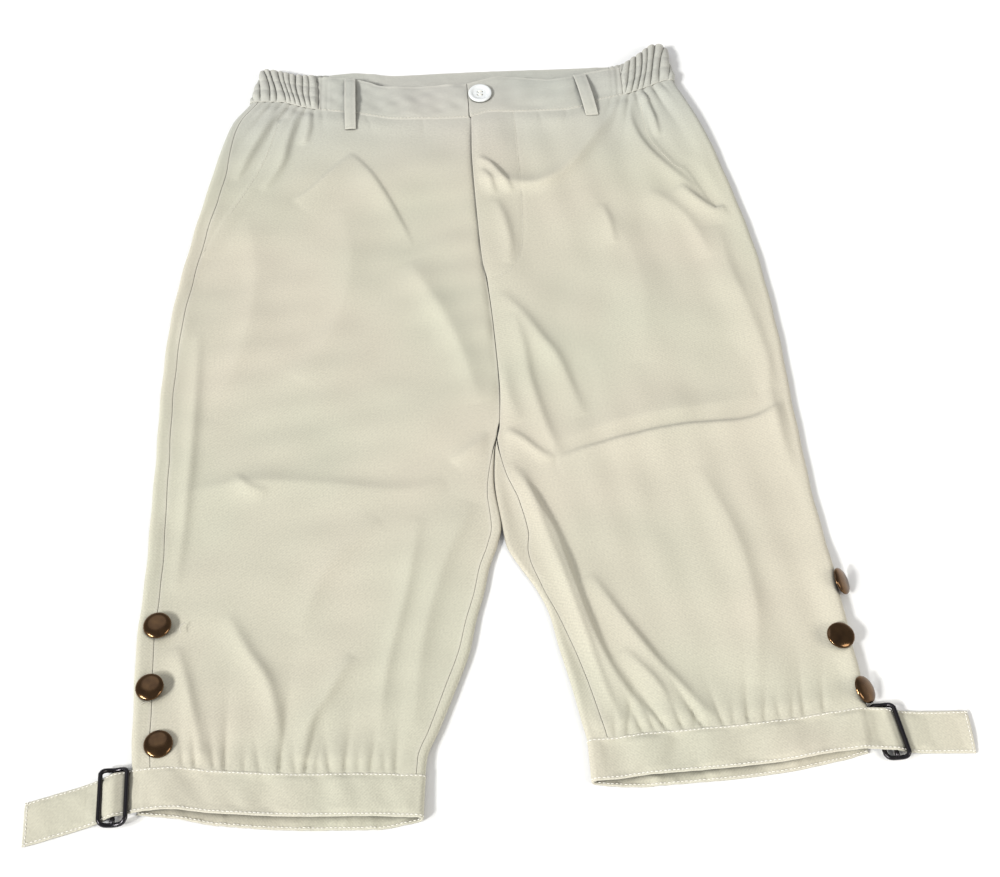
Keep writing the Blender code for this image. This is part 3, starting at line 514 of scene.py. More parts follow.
# %% [markdown]
# Gathers, pocket and fly
#
# Where a wide edge is sewn to a shorter band, the cloth puckers: narrow pinches run away from the
# seam, widen and fade. The slanted pocket mouth is a small step, because the front lies over the
# pocket's side piece. The fly's topstitching pulls a shallow curved groove.

# %% Pinches and steps
# Pinches above each knee band: across, lean in millimetres for each millimetre up, length, depth.
KNEE_PINCHES = {
    RIGHT: (
        (-228, -0.10, 26, 0.9), (-220, -0.05, 34, 1.3), (-207, -0.12, 24, 1.0), (-200, 0.02, 46, 1.6),
        (-187, 0.05, 18, 0.8), (-176, -0.15, 22, 0.9), (-163, 0.10, 58, 1.7), (-152, -0.1, 20, 0.9),
        (-146, 0.22, 40, 1.6), (-138, 0.1, 22, 1.0), (-129, -0.1, 30, 1.2), (-119, 0.12, 34, 1.4),
        (-110, 0.05, 18, 0.8), (-102, 0.16, 30, 1.3), (-92, 0.0, 20, 0.8), (-85, 0.10, 36, 1.2),
    ),
    LEFT: (
        (66, 0.05, 18, 0.8), (74, 0.22, 30, 1.2), (85, -0.3, 34, 1.3), (94, -0.35, 24, 1.0),
        (102, -0.5, 44, 1.5), (113, -0.3, 34, 1.3), (121, 0.05, 18, 0.8), (127, -0.45, 46, 1.6),
        (141, -0.2, 26, 1.2), (148, 0.1, 16, 0.8), (158, 0.1, 34, 1.5), (169, 0.2, 24, 1.1),
        (180, 0.0, 18, 0.8), (189, 0.15, 22, 1.0), (197, 0.08, 34, 1.3), (211, 0.12, 26, 1.1),
    ),
}
# Pinches below the waistband, counted in the same way downwards.
WAIST_PINCHES = {
    RIGHT: (
        (-175, -0.7, 22, 1.0), (-168, -0.6, 40, 1.2), (-160, -0.55, 28, 1.2), (-153, -0.5, 52, 1.6),
        (-146, -0.35, 30, 1.3), (-140, -0.25, 44, 1.5), (-133, -0.1, 24, 1.1), (-126, 0.05, 16, 0.7),
        (-88, 0.3, 14, 0.4), (-40, 0.0, 12, 0.35),
    ),
    LEFT: (
        (168, 0.5, 26, 1.0), (160, 0.35, 46, 1.5), (152, 0.2, 40, 1.7), (145, 0.15, 30, 1.3),
        (139, -0.2, 34, 1.3), (132, -0.35, 22, 1.0), (124, -0.4, 16, 0.8), (60, 0.1, 14, 0.35),
        (84, -0.2, 12, 0.4),
    ),
}
POCKET_MOUTH = {
    RIGHT: ((-165, 30), (-177, 69), (-191, 101), (-206, 130), (-221, 163)),
    LEFT: ((151, 30), (154, 65), (170, 98), (179, 107), (197, 151)),
}
POCKET_STEP = 0.8
CREASE_GAIN = 2.6
PINCH_GAIN = 2.0
SEAM_PUFF = 0.9
FLY_CURVE = ((38, 34), (38, 120), (36, 165), (31, 190), (21, 205), (10, 210), (2, 210))


def pinch_relief(pinches, across, away_from_seam):
    """Each pinch is a groove under its line, 1.5 mm wide at the seam and wider by a tenth of the
    distance from it. Between the pinches the cloth puffs up beside the seam."""
    at_seam = 0.4 + 0.6 * ramp(away_from_seam, 0, 5)
    total = SEAM_PUFF * hill(away_from_seam - 9, 8)
    for place, lean, length, depth in pinches:
        beside_line = across - place - lean * away_from_seam
        groove = hill(beside_line / (1.5 + 0.1 * away_from_seam), 1, 1.4) * at_seam
        total = total - PINCH_GAIN * depth * groove * hill(away_from_seam, length, 1.6)
    return total


def step_relief(points, across, down, depth, width):
    """A step down by depth on the left hand of a curve, over the given width."""
    away, share = beside(curve_through(points), across, down)
    inside = (share > 0) & (share < 1) & (np.abs(away) < 14)
    return np.where(inside, -depth * ramp(-away, -width / 2, width / 2) * (1 - ramp(-away, 4, 14)), 0)


def panel_relief(side, across, down):
    """All that stands out of the calm surface of a front, in millimetres."""
    above_knee = np.maximum(knee_line(side, across) - down, 0)
    below_waist = np.maximum(down - smooth(WAIST_SEAM, 1, across), 0)
    total = CREASE_GAIN * crease_relief(CREASES[side], across, down)
    total = total + 0.85 * soft_waves(across, down, 95, 3 + side)
    total = total + 0.34 * soft_waves(across, down, 33, 9 + side)
    total = total * ramp(np.minimum(above_knee, below_waist), -2, 12)
    total = total + pinch_relief(KNEE_PINCHES[side], across, above_knee) * ramp(down, 480, 540)
    total = total + pinch_relief(WAIST_PINCHES[side], across, below_waist) * (1 - ramp(down, 130, 190))
    total = total + step_relief(POCKET_MOUTH[side], across, down, POCKET_STEP * side, 1.4)
    if side == LEFT:
        away, _ = beside(curve_through(FLY_CURVE), across, down)
        total = total - 0.35 * hill(away, 1.4)
    return total


def seam_pull(side, across, down):
    """A front is pulled in beside the fly and the centre seam, over 3.5 mm: the right one 1.5 mm deep,
    the left one a quarter of that."""
    from_seam = across - inner_edge(side, down)
    above_crotch = ramp(down, 40, 60) * (1 - ramp(down, CROTCH - 60, CROTCH - 15))
    return -1.5 * hill(from_seam, 3.5) * above_crotch * (1.0 if side == RIGHT else 0.25)


print("pinches:", sum(len(rows) for rows in (*KNEE_PINCHES.values(), *WAIST_PINCHES.values())))

# %% [markdown]
# From a surface to a piece of cloth
#
# A sheet of points becomes cloth by gaining a wall. The Solidify modifier would leave square edges,
# and a pressed seam has round ones, so the wall is worked out here: two faces that meet in the rim,
# with a quarter ellipse between. The same helper gives each piece the tailor's coordinates as its UV
# map, so that the twill lines follow the cloth, and marks how far each point is from a seam.


# %% Shells of cloth
RIM = 0.6
triangles_made = {}


def outward(points):
    """Unit normals of a grid of points: across the columns, crossed with down the rows."""
    normal = np.cross(np.gradient(points, axis=1), np.gradient(points, axis=0))
    return normal / np.linalg.norm(normal, axis=-1, keepdims=True)


def lengths_along(points, axis):
    """Distance from the first row or column to each point, along the grid."""
    steps = np.linalg.norm(np.diff(points, axis=axis), axis=-1)
    return np.cumsum(np.insert(steps, 0, 0, axis=axis), axis=axis)


def quads(index):
    """The four corners of every cell of a grid of vertex numbers."""
    return np.stack([index[:-1, :-1], index[:-1, 1:], index[1:, 1:], index[1:, :-1]], -1).reshape(-1, 4)


def new_mesh(name, points, faces, uv=None, seam=None):
    """A mesh from arrays. Vertices that no face uses are left out."""
    used, faces = np.unique(faces, return_inverse=True)
    faces = faces.reshape(-1, 4)
    mesh = bpy.data.meshes.new(name)
    mesh.vertices.add(len(used))
    mesh.vertices.foreach_set("co", points[used].astype(np.float32).ravel())
    mesh.loops.add(faces.size)
    mesh.loops.foreach_set("vertex_index", faces.astype(np.int32).ravel())
    mesh.polygons.add(len(faces))
    mesh.polygons.foreach_set("loop_start", np.arange(0, faces.size, 4, dtype=np.int32))
    mesh.update(calc_edges=True)
    if uv is not None:
        layer = mesh.uv_layers.new(name="cloth")
        layer.uv.foreach_set("vector", uv[used][faces.ravel()].astype(np.float32).ravel())
        marks = mesh.attributes.new("from_seam", "FLOAT", "POINT")
        marks.data.foreach_set("value", seam[used].astype(np.float32))
    return mesh


def add_piece(name, mesh, material):
    """Puts a mesh into the scene, riding on the garment. With a CAD node's name it replaces the node."""
    stands_for_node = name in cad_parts
    mesh.materials.append(material)
    mesh.shade_smooth()
    piece = link(f"{name}_finished" if stands_for_node else name, mesh)
    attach(piece, "root")
    if stands_for_node:
        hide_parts(name)
    mesh.calc_loop_triangles()
    triangles_made[name] = len(mesh.loop_triangles)


def shell(name, middle, wall, faces_up):
    """A wall of cloth round a grid of points. Its half thickness is wall / 2 times the square root of
    1 - (1 - d / RIM) ** 2, where d is the distance from the nearest edge. Returns the grids of its
    outer and inner face."""
    rows, columns = middle.shape[:2]
    over, along = lengths_along(middle, 1), lengths_along(middle, 0)
    from_edge = np.minimum.reduce([over, over[:, -1:] - over, along, along[-1:] - along]) / MM
    full = np.sqrt(1 - (1 - np.clip(from_edge / RIM, 0, 1)) ** 2)
    half = outward(middle) * faces_up * (wall / 2 * full * MM)[..., None]
    outer, inner = middle + half, middle - half
    index = np.arange(rows * columns).reshape(rows, columns)
    other = index + index.size
    other[[0, -1]] = index[[0, -1]]
    other[:, [0, -1]] = index[:, [0, -1]]
    faces = np.concatenate([quads(index)[:, ::faces_up], quads(other)[:, ::-faces_up]])
    points = np.concatenate([outer.reshape(-1, 3), inner.reshape(-1, 3)])
    uv = np.tile(np.stack([over, along], axis=-1).reshape(-1, 2), (2, 1))
    add_piece(name, new_mesh(name, points, faces, uv, np.tile(from_edge.ravel(), 2)), twill)
    cells = (np.diff(over, axis=1)[:-1] * np.diff(along, axis=0)[:, :-1]).sum()
    wide, long = over[:, -1].max(), along[-1].max()
    filled = cells / wide / long
    print(f"{name}: {triangles_made[name]} triangles, {wide:.3f} x {long:.3f} m, filled {filled:.2f}")
    return outer, inner


# %% [markdown]
# Cotton twill
#
# The cloth is a mid-weight cotton twill, piece-dyed a pale stone. Twill is woven over two and under
# one, which leaves fine diagonal ribs about half a millimetre apart. A pixel of the picture is wider
# than that, so the ribs are drawn 1.6 mm apart to show at all, and broken up by slubs. Cotton has no
# gloss, only a faint sheen from its loose fibres. It is a little paler where a seam rubs. Its colour
# is also painted greyer towards the waist, as painted shade for the weaker light there, and painted
# darker deep in grooves and openings, as painted shade from an ambient occlusion node.

# %% The cloth's material
RIB_SPACING = 0.0016
RIB_TURNS = 10 * math.sqrt(2)
RIB_RELIEF = 0.00005
# Painted shade: how far, in metres, the ambient occlusion below looks for nearby cloth.
PAINTED_SHADE_REACH = 0.009
# Painted shade: the cloth's colour greys between these two places, measured up the garment in metres.
WAIST_SHADE_SPAN = (0.19, 0.32)
# Painted shade: openness from 0, shut in, to 1, free, and the share of its tone that the cloth keeps there.
PAINTED_SHADE_TONES = ((0.2, 0.1), (0.42, 0.33), (0.58, 0.74), (0.75, 0.93), (0.93, 1.0))

twill, tree = new_material("stone_cotton_twill")
cloth = add_node(tree, "UVMap", "UV", {}, uv_map="cloth")
where = add_node(tree, "TexCoord", "Object", {})
rib_scale = 2 * math.pi / (RIB_TURNS * RIB_SPACING)
rib_inputs = {"Vector": cloth, "Scale": rib_scale, "Distortion": 1.5, "Detail Scale": 0.8}
ribs = add_node(tree, "TexWave", "Fac", rib_inputs, wave_type="BANDS", bands_direction="DIAGONAL")
grain = add_node(tree, "TexNoise", "Fac", {"Vector": cloth, "Scale": 700.0, "Detail": 3.0})
drift = add_node(tree, "TexNoise", "Fac", {"Vector": where, "Scale": 6.0, "Detail": 2.0})
tones = colour_ramp(tree, drift, ((0.38, linear("#C5C3B0")), (0.62, linear("#CAC4B2"))))
flecks = add_node(tree, "Math", 0, {0: ribs, 1: 0.15, 2: grain}, operation="MULTIPLY_ADD")
fleck_tone = map_range(tree, flecks, (0.3, 0.85), (0.86, 1.11))
speckled = add_node(tree, "VectorMath", 0, {0: tones, "Scale": fleck_tone}, operation="SCALE")
# Painted shade: towards the waist the colour is multiplied by a pale blue-grey, where less light falls.
up_the_garment = add_node(tree, "SeparateXYZ", "Y", {"Vector": where})
waist_shade_share = map_range(tree, up_the_garment, WAIST_SHADE_SPAN, (0.0, 1.0), "SMOOTHSTEP")
waist_shaded_colour = mix(tree, "MULTIPLY", waist_shade_share, speckled, linear("#EFF3FF"))
seam = add_node(tree, "Attribute", "Fac", {}, attribute_name="from_seam")
worn = map_range(tree, seam, (0.4, 3.0), (0.22, 0.0))
rubbed_and_shaded = mix(tree, "MIX", worn, waist_shaded_colour, linear("#DAD6CA"))
# Painted shade: ambient occlusion darkens the colour in grooves, pinches, seams and openings.
openness = add_node(tree, "AmbientOcclusion", "AO", {"Distance": PAINTED_SHADE_REACH}, samples=8)
kept = colour_ramp(tree, openness, [(place, (tone, tone, tone, 1)) for place, tone in PAINTED_SHADE_TONES])
colour_with_painted_shade = add_node(tree, "VectorMath", 0, {0: rubbed_and_shaded, 1: kept}, operation="MULTIPLY")
relief = add_node(tree, "Bump", "Normal", {"Strength": 0.8, "Distance": RIB_RELIEF, "Height": flecks})
surface(twill, {"Base Color": colour_with_painted_shade, "Normal": relief, "Roughness": 0.9, "Specular IOR Level": 0.3})
surface(twill, {"Sheen Weight": 0.12, "Sheen Roughness": 0.5})
print("rib spacing drawn, in millimetres:", RIB_SPACING / MM)

# %% [markdown]
# Front panels
#
# A front is cut in one piece from the waist to the knee. Its long edges are the side seam, which lies
# a little inside the fold, and the fly line, which turns into the inseam at the crotch. The grid's
# columns run down the leg and its rows across. A row's place depends on the seams' curves, which
# depend on the column, so the two are worked out in a few rounds until they agree.

# %% Grids of the panels
ROUNDS = 6
SEAM_GAP = 0.03
CROTCH_GAP = 0.35
TUCK = 1.6
RUN_OUT = 3.0
FLY_LAP = 1.6
# Distances from an edge in millimetres at which every shell has an extra row or column.
EDGE_STOPS = np.array([0, 0.1, 0.3, 0.6, 1.2])
EDGE_SHARES = np.array([0, 0.015, 0.04, 0.08, 0.14, 0.22, 0.32, 0.44, 0.57, 0.71, 0.86, 1])
FIRST_EVEN = 2.6
PANEL_TOP = 38.0
PANEL_END = 618.0
LOWEST = 2.25
BOTTOMING = 0.6


def with_stops(start, end, spacing):
    """Places from start to end, evenly spaced, with the extra stops at both ends."""
    count = int((end - start - 2 * FIRST_EVEN) / spacing) + 1
    inner = np.linspace(start + FIRST_EVEN, end - FIRST_EVEN, count)
    return np.concatenate([start + EDGE_STOPS, inner, end - EDGE_STOPS[::-1]])


def in_runs(counts, *parts):
    """One value for each column, run after run. A part is an array, or a number for its whole run."""
    return np.concatenate([np.broadcast_to(part, count) for count, part in zip(counts, parts)])


def panel_columns(outer, between, inner):
    """Shares of the way over the outer fold and over the inner fold, and the blend between them."""
    counts = (len(outer), between, len(inner))
    blend = in_runs(counts, 0, np.linspace(0, 1, between + 2)[1:-1], 1)
    return in_runs(counts, outer, outer[-1], outer[-1]), in_runs(counts, inner[0], inner[0], inner), blend


def from_folds(side, across, down):
    """Distances from the outer and from the inner edge."""
    return np.abs(across - outer_edge(side, down)), np.abs(across - inner_edge(side, down))


def calm_near_folds(side, across, down):
    """Relief fades on the round folds, and at the centre seam, where stitches hold the cloth down."""
    from_outer, from_inner = from_folds(side, across, down)
    below_crotch = ramp(down, CROTCH - 30, CROTCH + 10)
    fold_fade = ramp(from_inner, 2, 11)
    seam_fade = 1 - 0.8 * hill(from_inner, 4)
    return ramp(from_outer, 4, 15) * (seam_fade + (fold_fade - seam_fade) * below_crotch)


def top_surface(side, across, down):
    """Height of the top layer with all its relief. It never sinks below LOWEST: within BOTTOMING of
    that it approaches it as exp(x), so that the cloth bottoms out gently."""
    relief = calm_near_folds(side, across, down) * panel_relief(side, across, down)
    height = top_height(side, across, down) + relief + seam_pull(side, across, down)
    over = height - LOWEST - BOTTOMING
    return LOWEST + np.where(over > 0, over + BOTTOMING, BOTTOMING * np.exp(np.minimum(over, 0) / BOTTOMING))


def settle(side, across, down):
    """Share of the relief that a panel takes: none on the round folds, all of it a little beside them."""
    from_outer, from_inner = from_folds(side, across, down)
    at_inner = 1 - (1 - ramp(from_inner, 2, 6)) * ramp(down, CROTCH - 30, CROTCH + 10)
    return ramp(from_outer, 4, 8) * at_inner


def lift(side, across, down):
    """What the relief adds to the calm top layer."""
    return (top_surface(side, across, down) - top_height(side, across, down)) * settle(side, across, down)


def seam_arc(side, end, down, layer):
    """Where a panel ends: at the side seam, or at the inner edge. Above the crotch the front ends on
    top and the back below, and from the crotch down both end at the inseam."""
    if end == "outer":
        return smooth(SIDE_SEAM, of_side(side), down) + layer * SEAM_GAP / 2
    quarter = fold_size(side, "inner", down, CLOTH)[2]
    above = layer * quarter * (1 - ramp(down, CROTCH - 12, CROTCH))
    half_gap = SEAM_GAP / 2 + CROTCH_GAP * hill(down - CROTCH - 4, 11)
    return above + np.where(down > CROTCH, smooth(INSEAM, of_side(side), down), 0) + layer * half_gap


def panel_down(top, bottom, rows):
    """Down of the rows: straight across the middle, bending near the ends to follow the seams. The
    panel's ends are tucked into the doubled bands."""
    at_top = (top - TUCK - rows[0]) * (1 - ramp(rows, PANEL_TOP, 150))
    at_bottom = (bottom + TUCK - rows[-1]) * ramp(rows, 440, PANEL_END)
    return rows + at_top + at_bottom


def front_panel(side):
    """Columns run from each seam over the fold's top, and evenly between the two."""
    outer_share, inner_share, blend = panel_columns(EDGE_SHARES, 124, EDGE_SHARES[::-1])
    rows = with_stops(PANEL_TOP, PANEL_END, 1.8)[:, None]
    down = rows + 0 * blend
    for _ in range(ROUNDS):
        ends = []
        for end, share in (("outer", outer_share), ("inner", inner_share)):
            start = seam_arc(side, end, down, 1)
            reach = np.maximum(fold_size(side, end, down, CLOTH)[2] - start, 0) + RUN_OUT
            ends += section_point(side, end, start + reach * share, down)
        outer_across, outer_height, inner_across, inner_height = ends
        if side == LEFT:
            inner_across = inner_across - FLY_LAP * (1 - ramp(down, 192, 212))
        across = outer_across + (inner_across - outer_across) * blend
        down = panel_down(smooth(WAIST_SEAM, 1, across), knee_line(side, across), rows)
    base = np.where(blend > 0, top_height(side, across, down), outer_height)
    base = np.where(blend < 1, base, inner_height)
    return to_points(across, down, base + lift(side, across, down))


SIDE_NAMES = {RIGHT: "right", LEFT: "left"}
for side, word in SIDE_NAMES.items():
    shell(f"front_{word}", front_panel(side), CLOTH, side)

# %% [markdown]
# Back panels
#
# Each back wraps round both folds, so that its seams show on the front. It runs from the side seam
# round the outer fold, flat along the table and round the inner fold to the inseam. Above the crotch
# it ends flat against the other back.

# %% Backs
UNDER_RELIEF = 0.4
FLAT_END = 14


def under_relief(side, across, down):
    """The underside's own soft creases, as small hollows between the cloth and the table."""
    waves = soft_waves(across, down, 70, 21 + side) + 0.5 * soft_waves(across, down, 26, 41 + side)
    return UNDER_RELIEF * ramp(waves, 0.1, 1.6)


def back_panel(side):
    """Columns run from each seam round its fold to the underside, and evenly between the two."""
    steps = np.concatenate([EDGE_SHARES[:4], np.linspace(0.13, 1, 26)])
    outer_share, inner_share, blend = panel_columns(steps, 70, 1 - steps[::-1])
    rows = with_stops(PANEL_TOP, PANEL_END, 2.6)[:, None]
    down = rows + 0 * blend
    for _ in range(ROUNDS):
        top = seam_arc(side, "outer", down, -1)
        bottom = -fold_size(side, "outer", down, CLOTH)[2] - RUN_OUT
        outer_arc = top + (bottom - top) * outer_share
        outer_across, outer_height = section_point(side, "outer", outer_arc, down)
        start = -fold_size(side, "inner", down, CLOTH)[2] - RUN_OUT
        end = seam_arc(side, "inner", down, -1)
        flat_arc = end - FLAT_END * (1 - inner_share)
        fold_arc = start + (end - start) * inner_share
        inner_arc = flat_arc + (fold_arc - flat_arc) * ramp(down, CROTCH - 40, CROTCH)
        inner_across, inner_height = section_point(side, "inner", inner_arc, down)
        across = outer_across + (inner_across - outer_across) * blend
        on_top = np.where(blend < 0.5, ramp(outer_arc, -2, 3), ramp(inner_arc, -2, 3) * (blend > 0.99))
        front_seam, back_seam = smooth(WAIST_SEAM, 1, across), smooth(BACK_WAISTBAND, 2, across)
        waist_line = back_seam + (front_seam - back_seam) * on_top
        down = panel_down(waist_line, knee_line(side, across, 1 - on_top), rows)
    under = CLOTH / 2 + under_relief(side, across, down) * calm_near_folds(side, across, down)
    height = np.where(blend > 0, under, outer_height)
    height = np.where(blend < 1, height, inner_height)
    tucked = 1 - ramp(np.minimum(down - back_seam, knee_line(side, across, 1) - down), -0.5, 3)
    height = height + (BAND - CLOTH) / 2 * tucked * (1 - ramp(height, 1, 3))
    at_outer = (outer_share < 1) & (outer_arc > fold_size(side, "outer", down, CLOTH)[2])
    at_inner = (inner_share > 0) & (inner_arc > fold_size(side, "inner", down, CLOTH)[2])
    return to_points(across, down, height + np.where(at_outer | at_inner, lift(side, across, down), 0))


for side, word in SIDE_NAMES.items():
    shell(f"back_{word}", back_panel(side), CLOTH, -side)

# %% [markdown]
# Waistband
#
# The waistband is a doubled strip with a facing inside. In front it is flat, from the fly to the
# elastic. At each side it is gathered over elastic, which makes upright puffs between narrow grooves,
# and two rows of stitching hold them down. The back part lies on the table, and its inside shows
# above the lower front edge.

# %% Waistband pieces
WAISTBAND_WIDTH = 38
BACK_WAISTBAND_WIDTH = 32
# Where the elastic begins on the front and on the back.
ELASTIC_ENDS = {RIGHT: (-129.0, -120.0), LEFT: (134.0, 126.0)}
SIDE_WALL = 1.6
PUFF = 4.8
PUFF_SLANT = {RIGHT: 0.12, LEFT: 0.34}
ELASTIC_PITCH = 6.0
GROOVE_COUNT = 60
ROW_SPACING = 1.3
SIDE_LENGTH = 60


def band_rows(width):
    """Rows across a band as shares of its width, with the extra stops at both edges."""
    return (with_stops(0, width, ROW_SPACING) / width)[:, None]


def front_waistband(side):
    """Flat, with soft waves, a groove along each row of stitches and small tucks beside the elastic."""
    elastic = ELASTIC_ENDS[side][0]
    start, end = elastic - side * SEAM_GAP / 2, float(inner_edge(side, 10.0)) + side * 0.05
    rows = band_rows(WAISTBAND_WIDTH)
    across = start + (end - start) * (with_stops(0, abs(end - start), 1.4) / abs(end - start))
    across = np.tile(across, (len(rows), 1))
    top, bottom = smooth(FRONT_WAIST_EDGE, 1, across), smooth(WAIST_SEAM, 1, across)
    down = top + (bottom - top) * rows
    relief = 0.75 * soft_waves(across, down, 46, 5 + side) + 0.32 * soft_waves(across, down, 15, 6 + side)
    relief = relief * ramp(bottom - down, -1, 8)
    relief = relief - 0.22 * hill(bottom - down - 2.2, 0.9) - 0.22 * hill(down - top - 2.4, 0.9)
    near_end = 1 - ramp(np.abs(across - elastic), 0, 16)
    relief = relief - 0.5 * near_end * (1 + np.cos(across * 1.3 + down * 0.05))
    return to_points(across, down, top_height(side, across, down) + relief)


def puffs(along, seed):
    """Height from 0 in a groove to 1 on a puff. The grooves stand at uneven distances, and between
    two of them the puff is half an ellipse: sqrt(1 - (1 - t) ** 2), t rising from 0 at a groove."""
    random = np.random.default_rng(seed)
    grooves = np.cumsum(random.uniform(0.72, 1.3, GROOVE_COUNT)) * ELASTIC_PITCH - ELASTIC_PITCH
    depth = random.uniform(0.55, 1.0, GROOVE_COUNT)
    after = np.clip(np.searchsorted(grooves, along), 1, GROOVE_COUNT - 1)
    t = (along - grooves[after - 1]) / (grooves[after] - grooves[after - 1])
    nearest = np.where(t < 0.5, depth[after - 1], depth[after])
    t = np.clip(np.minimum(t, 1 - t) * 2, 0, 1)
    return 1 - nearest * (1 - np.sqrt(1 - (1 - t) ** 2))


def side_waistband(side):
    """Three runs of columns: along the front to the fold, round it, and along the table to the back."""
    front_end, back_end = ELASTIC_ENDS[side]
    front = np.concatenate([EDGE_STOPS / SIDE_LENGTH, np.linspace(0.05, 1, 96)])
    back = np.concatenate([np.linspace(0.02, 1, 32)[:-1], 1 - EDGE_STOPS[::-1] / SIDE_LENGTH])
    counts = (len(front), 26, len(back))
    along_front, along_back = in_runs(counts, front, 1, 1), in_runs(counts, 0, 0, back)
    fold_angle = in_runs(counts, 1, np.linspace(0.95, -1, 26), -1)
    lower = in_runs(counts, 0, np.linspace(0.02, 1, 26), 1)
    rows = band_rows(WAISTBAND_WIDTH)
    start = front_end + side * SEAM_GAP / 2
    down = (rows - 0.5) * WAISTBAND_WIDTH + 0 * lower
    for _ in range(ROUNDS):
        depth, _, quarter = fold_size(side, "outer", down, BAND)
        edge = outer_edge(side, down)
        fold_across, fold_height = section_point(side, "outer", fold_angle * quarter, down, BAND)
        across = np.where(along_front < 1, start + (edge - side * depth - start) * along_front, fold_across)
        across = across + (back_end + side * SEAM_GAP / 2 - across) * along_back
        height = np.where(along_front < 1, top_height(side, across, down), fold_height)
        height = np.where(along_back > 0, BAND / 2, height)
        top = smooth(FRONT_WAIST_EDGE, 1, across) * (1 - lower) + smooth(BACK_WAISTBAND, 1, across) * lower
        seam = smooth(WAIST_SEAM, 1, across) * (1 - lower) + smooth(BACK_WAISTBAND, 2, across) * lower
        down = top + (seam - top) * rows
    middle = to_points(across, down, height)
    along = lengths_along(middle, 1) / MM
    slanted = along + PUFF_SLANT[side] * (rows - 0.5) * WAISTBAND_WIDTH
    puff = puffs(slanted + 1.2 * np.sin(rows * 5 + along * 0.12), 60 + side)
    ends = ramp(along, 0, 2.5) * ramp(along[:, -1:] - along, 0, 2.5)
    stitched = 0.28 * hill(rows - 0.36, 0.05) + 0.28 * hill(rows - 0.66, 0.05)
    rise = PUFF * (puff - 0.4) * (1 - stitched - 0.75 * ramp(rows, 0.82, 0.98)) * ends
    rise = np.where(along_back > 0, -0.5 * np.abs(rise), rise)
    shaped = middle + outward(middle) * -side * (rise * MM)[..., None]
    shaped[..., 2] = np.maximum(shaped[..., 2], SIDE_WALL / 2 * MM)
    return shaped


def back_waistband():
    """It lies on the table, so its relief only rises."""
    start, end = ELASTIC_ENDS[RIGHT][1] + SEAM_GAP / 2, ELASTIC_ENDS[LEFT][1] - SEAM_GAP / 2
    rows = band_rows(BACK_WAISTBAND_WIDTH)
    across = np.tile(with_stops(start, end, 2.0), (len(rows), 1))
    top, seam = smooth(BACK_WAISTBAND, 1, across), smooth(BACK_WAISTBAND, 2, across)
    down = seam + (top - seam) * rows
    relief = 0.5 * ramp(soft_waves(across, down, 40, 71), -0.5, 1.5)
    relief = relief + 0.3 * ramp(soft_waves(across, down, 14, 72), 0, 1.5)
    relief = relief - 0.2 * hill(down - top - 6, 0.8)
    return to_points(across, down, BAND / 2 + np.maximum(relief, 0))[::-1]


faces_of = {}
for side, word in SIDE_NAMES.items():
    name = f"waistband_front_{word}"
    faces_of[name] = shell(name, front_waistband(side), BAND, side)
    shell(f"waistband_side_{word}", side_waistband(side), SIDE_WALL, -side)
faces_of["waistband_back"] = shell("waistband_back", back_waistband(), BAND, 1)

# %% [markdown]
# Belt loops and knee bands
#
# A belt loop is a narrow strip, folded in three and sewn down at both ends, and it bows out between
# them. Each knee band is one doubled strip: its tail passes through the buckle, the band crosses the
# front of the knee, turns round the inner fold and comes back underneath.

# %% Loops and bands
SEAT_GAP = 0.25
LOOP_WALL = 1.3
LOOP_BULGE = 2.6
BELT_LOOPS = (
    # name, side, across and down of the top, the same of the bottom, width
    ("belt_loop_right", RIGHT, (-101, -12), (-102, 45), 9.6),
    ("belt_loop_left", LEFT, (98, -3), (105, 43), 11),
)
# The way of each strap outside the leg, from its tail to the knee: across, height of its middle.
STRAP = {
    RIGHT: (
        (-334, 1.0), (-318, 1.2), (-306, 1.0), (-296, 1.1), (-289.5, 1.9), (-283.6, 3.3), (-279, 5.2),
        (-274.5, 6.6), (-270, 5.4), (-265.4, 4.9), (-260, 6.6),
    ),
    LEFT: (
        (311, 1.0), (296, 1.2), (283, 1.0), (274, 1.2), (268, 2.0), (262, 3.3), (258, 5.0), (254, 7.0),
        (250, 7.0), (246.2, 6.9), (241, 7.6),
    ),
}
# Rods of each buckle, from the tail inwards: across, height of the middle.
RODS = {
    RIGHT: ((-283.6, 6.3), (-274.5, 3.8), (-265.4, 7.9)),
    LEFT: ((262, 6.4), (254, 4.0), (246.2, 3.8)),
}
BUCKLE_LEAN = {RIGHT: 0.0, LEFT: math.tan(math.radians(8))}
BUCKLE_REACH = 16.0
LEAVES_BUCKLE = 7
LYING_TAIL = 40
BACK_LENGTH = 190


def belt_loop(side, top, bottom, width):
    """A straight strip that bows out, with a dent at each row of stitches."""
    length = math.hypot(bottom[0] - top[0], bottom[1] - top[1])
    steps = (with_stops(0, length, 0.9) / length)[:, None]
    over = with_stops(0, width, 0.9) / width
    across = top[0] + (bottom[0] - top[0]) * steps + (over - 0.5) * width
    down = top[1] + (bottom[1] - top[1]) * steps + 0 * over
    face = top_height(side, across, np.maximum(down, smooth(FRONT_WAIST_EDGE, 1, across))) + BAND / 2
    bulge = LOOP_BULGE * np.sin(math.pi * steps) ** 0.7
    folded = 0.25 * hill(over - 0.5, 0.2) + 0.12 * soft_waves(across, down, 12, 15 + side)
    dents = 0.35 * hill(steps * length - 3, 1.2) + 0.35 * hill((1 - steps) * length - 3, 1.2)
    return to_points(across, down, face + SEAT_GAP + LOOP_WALL / 2 + bulge + folded - dents)


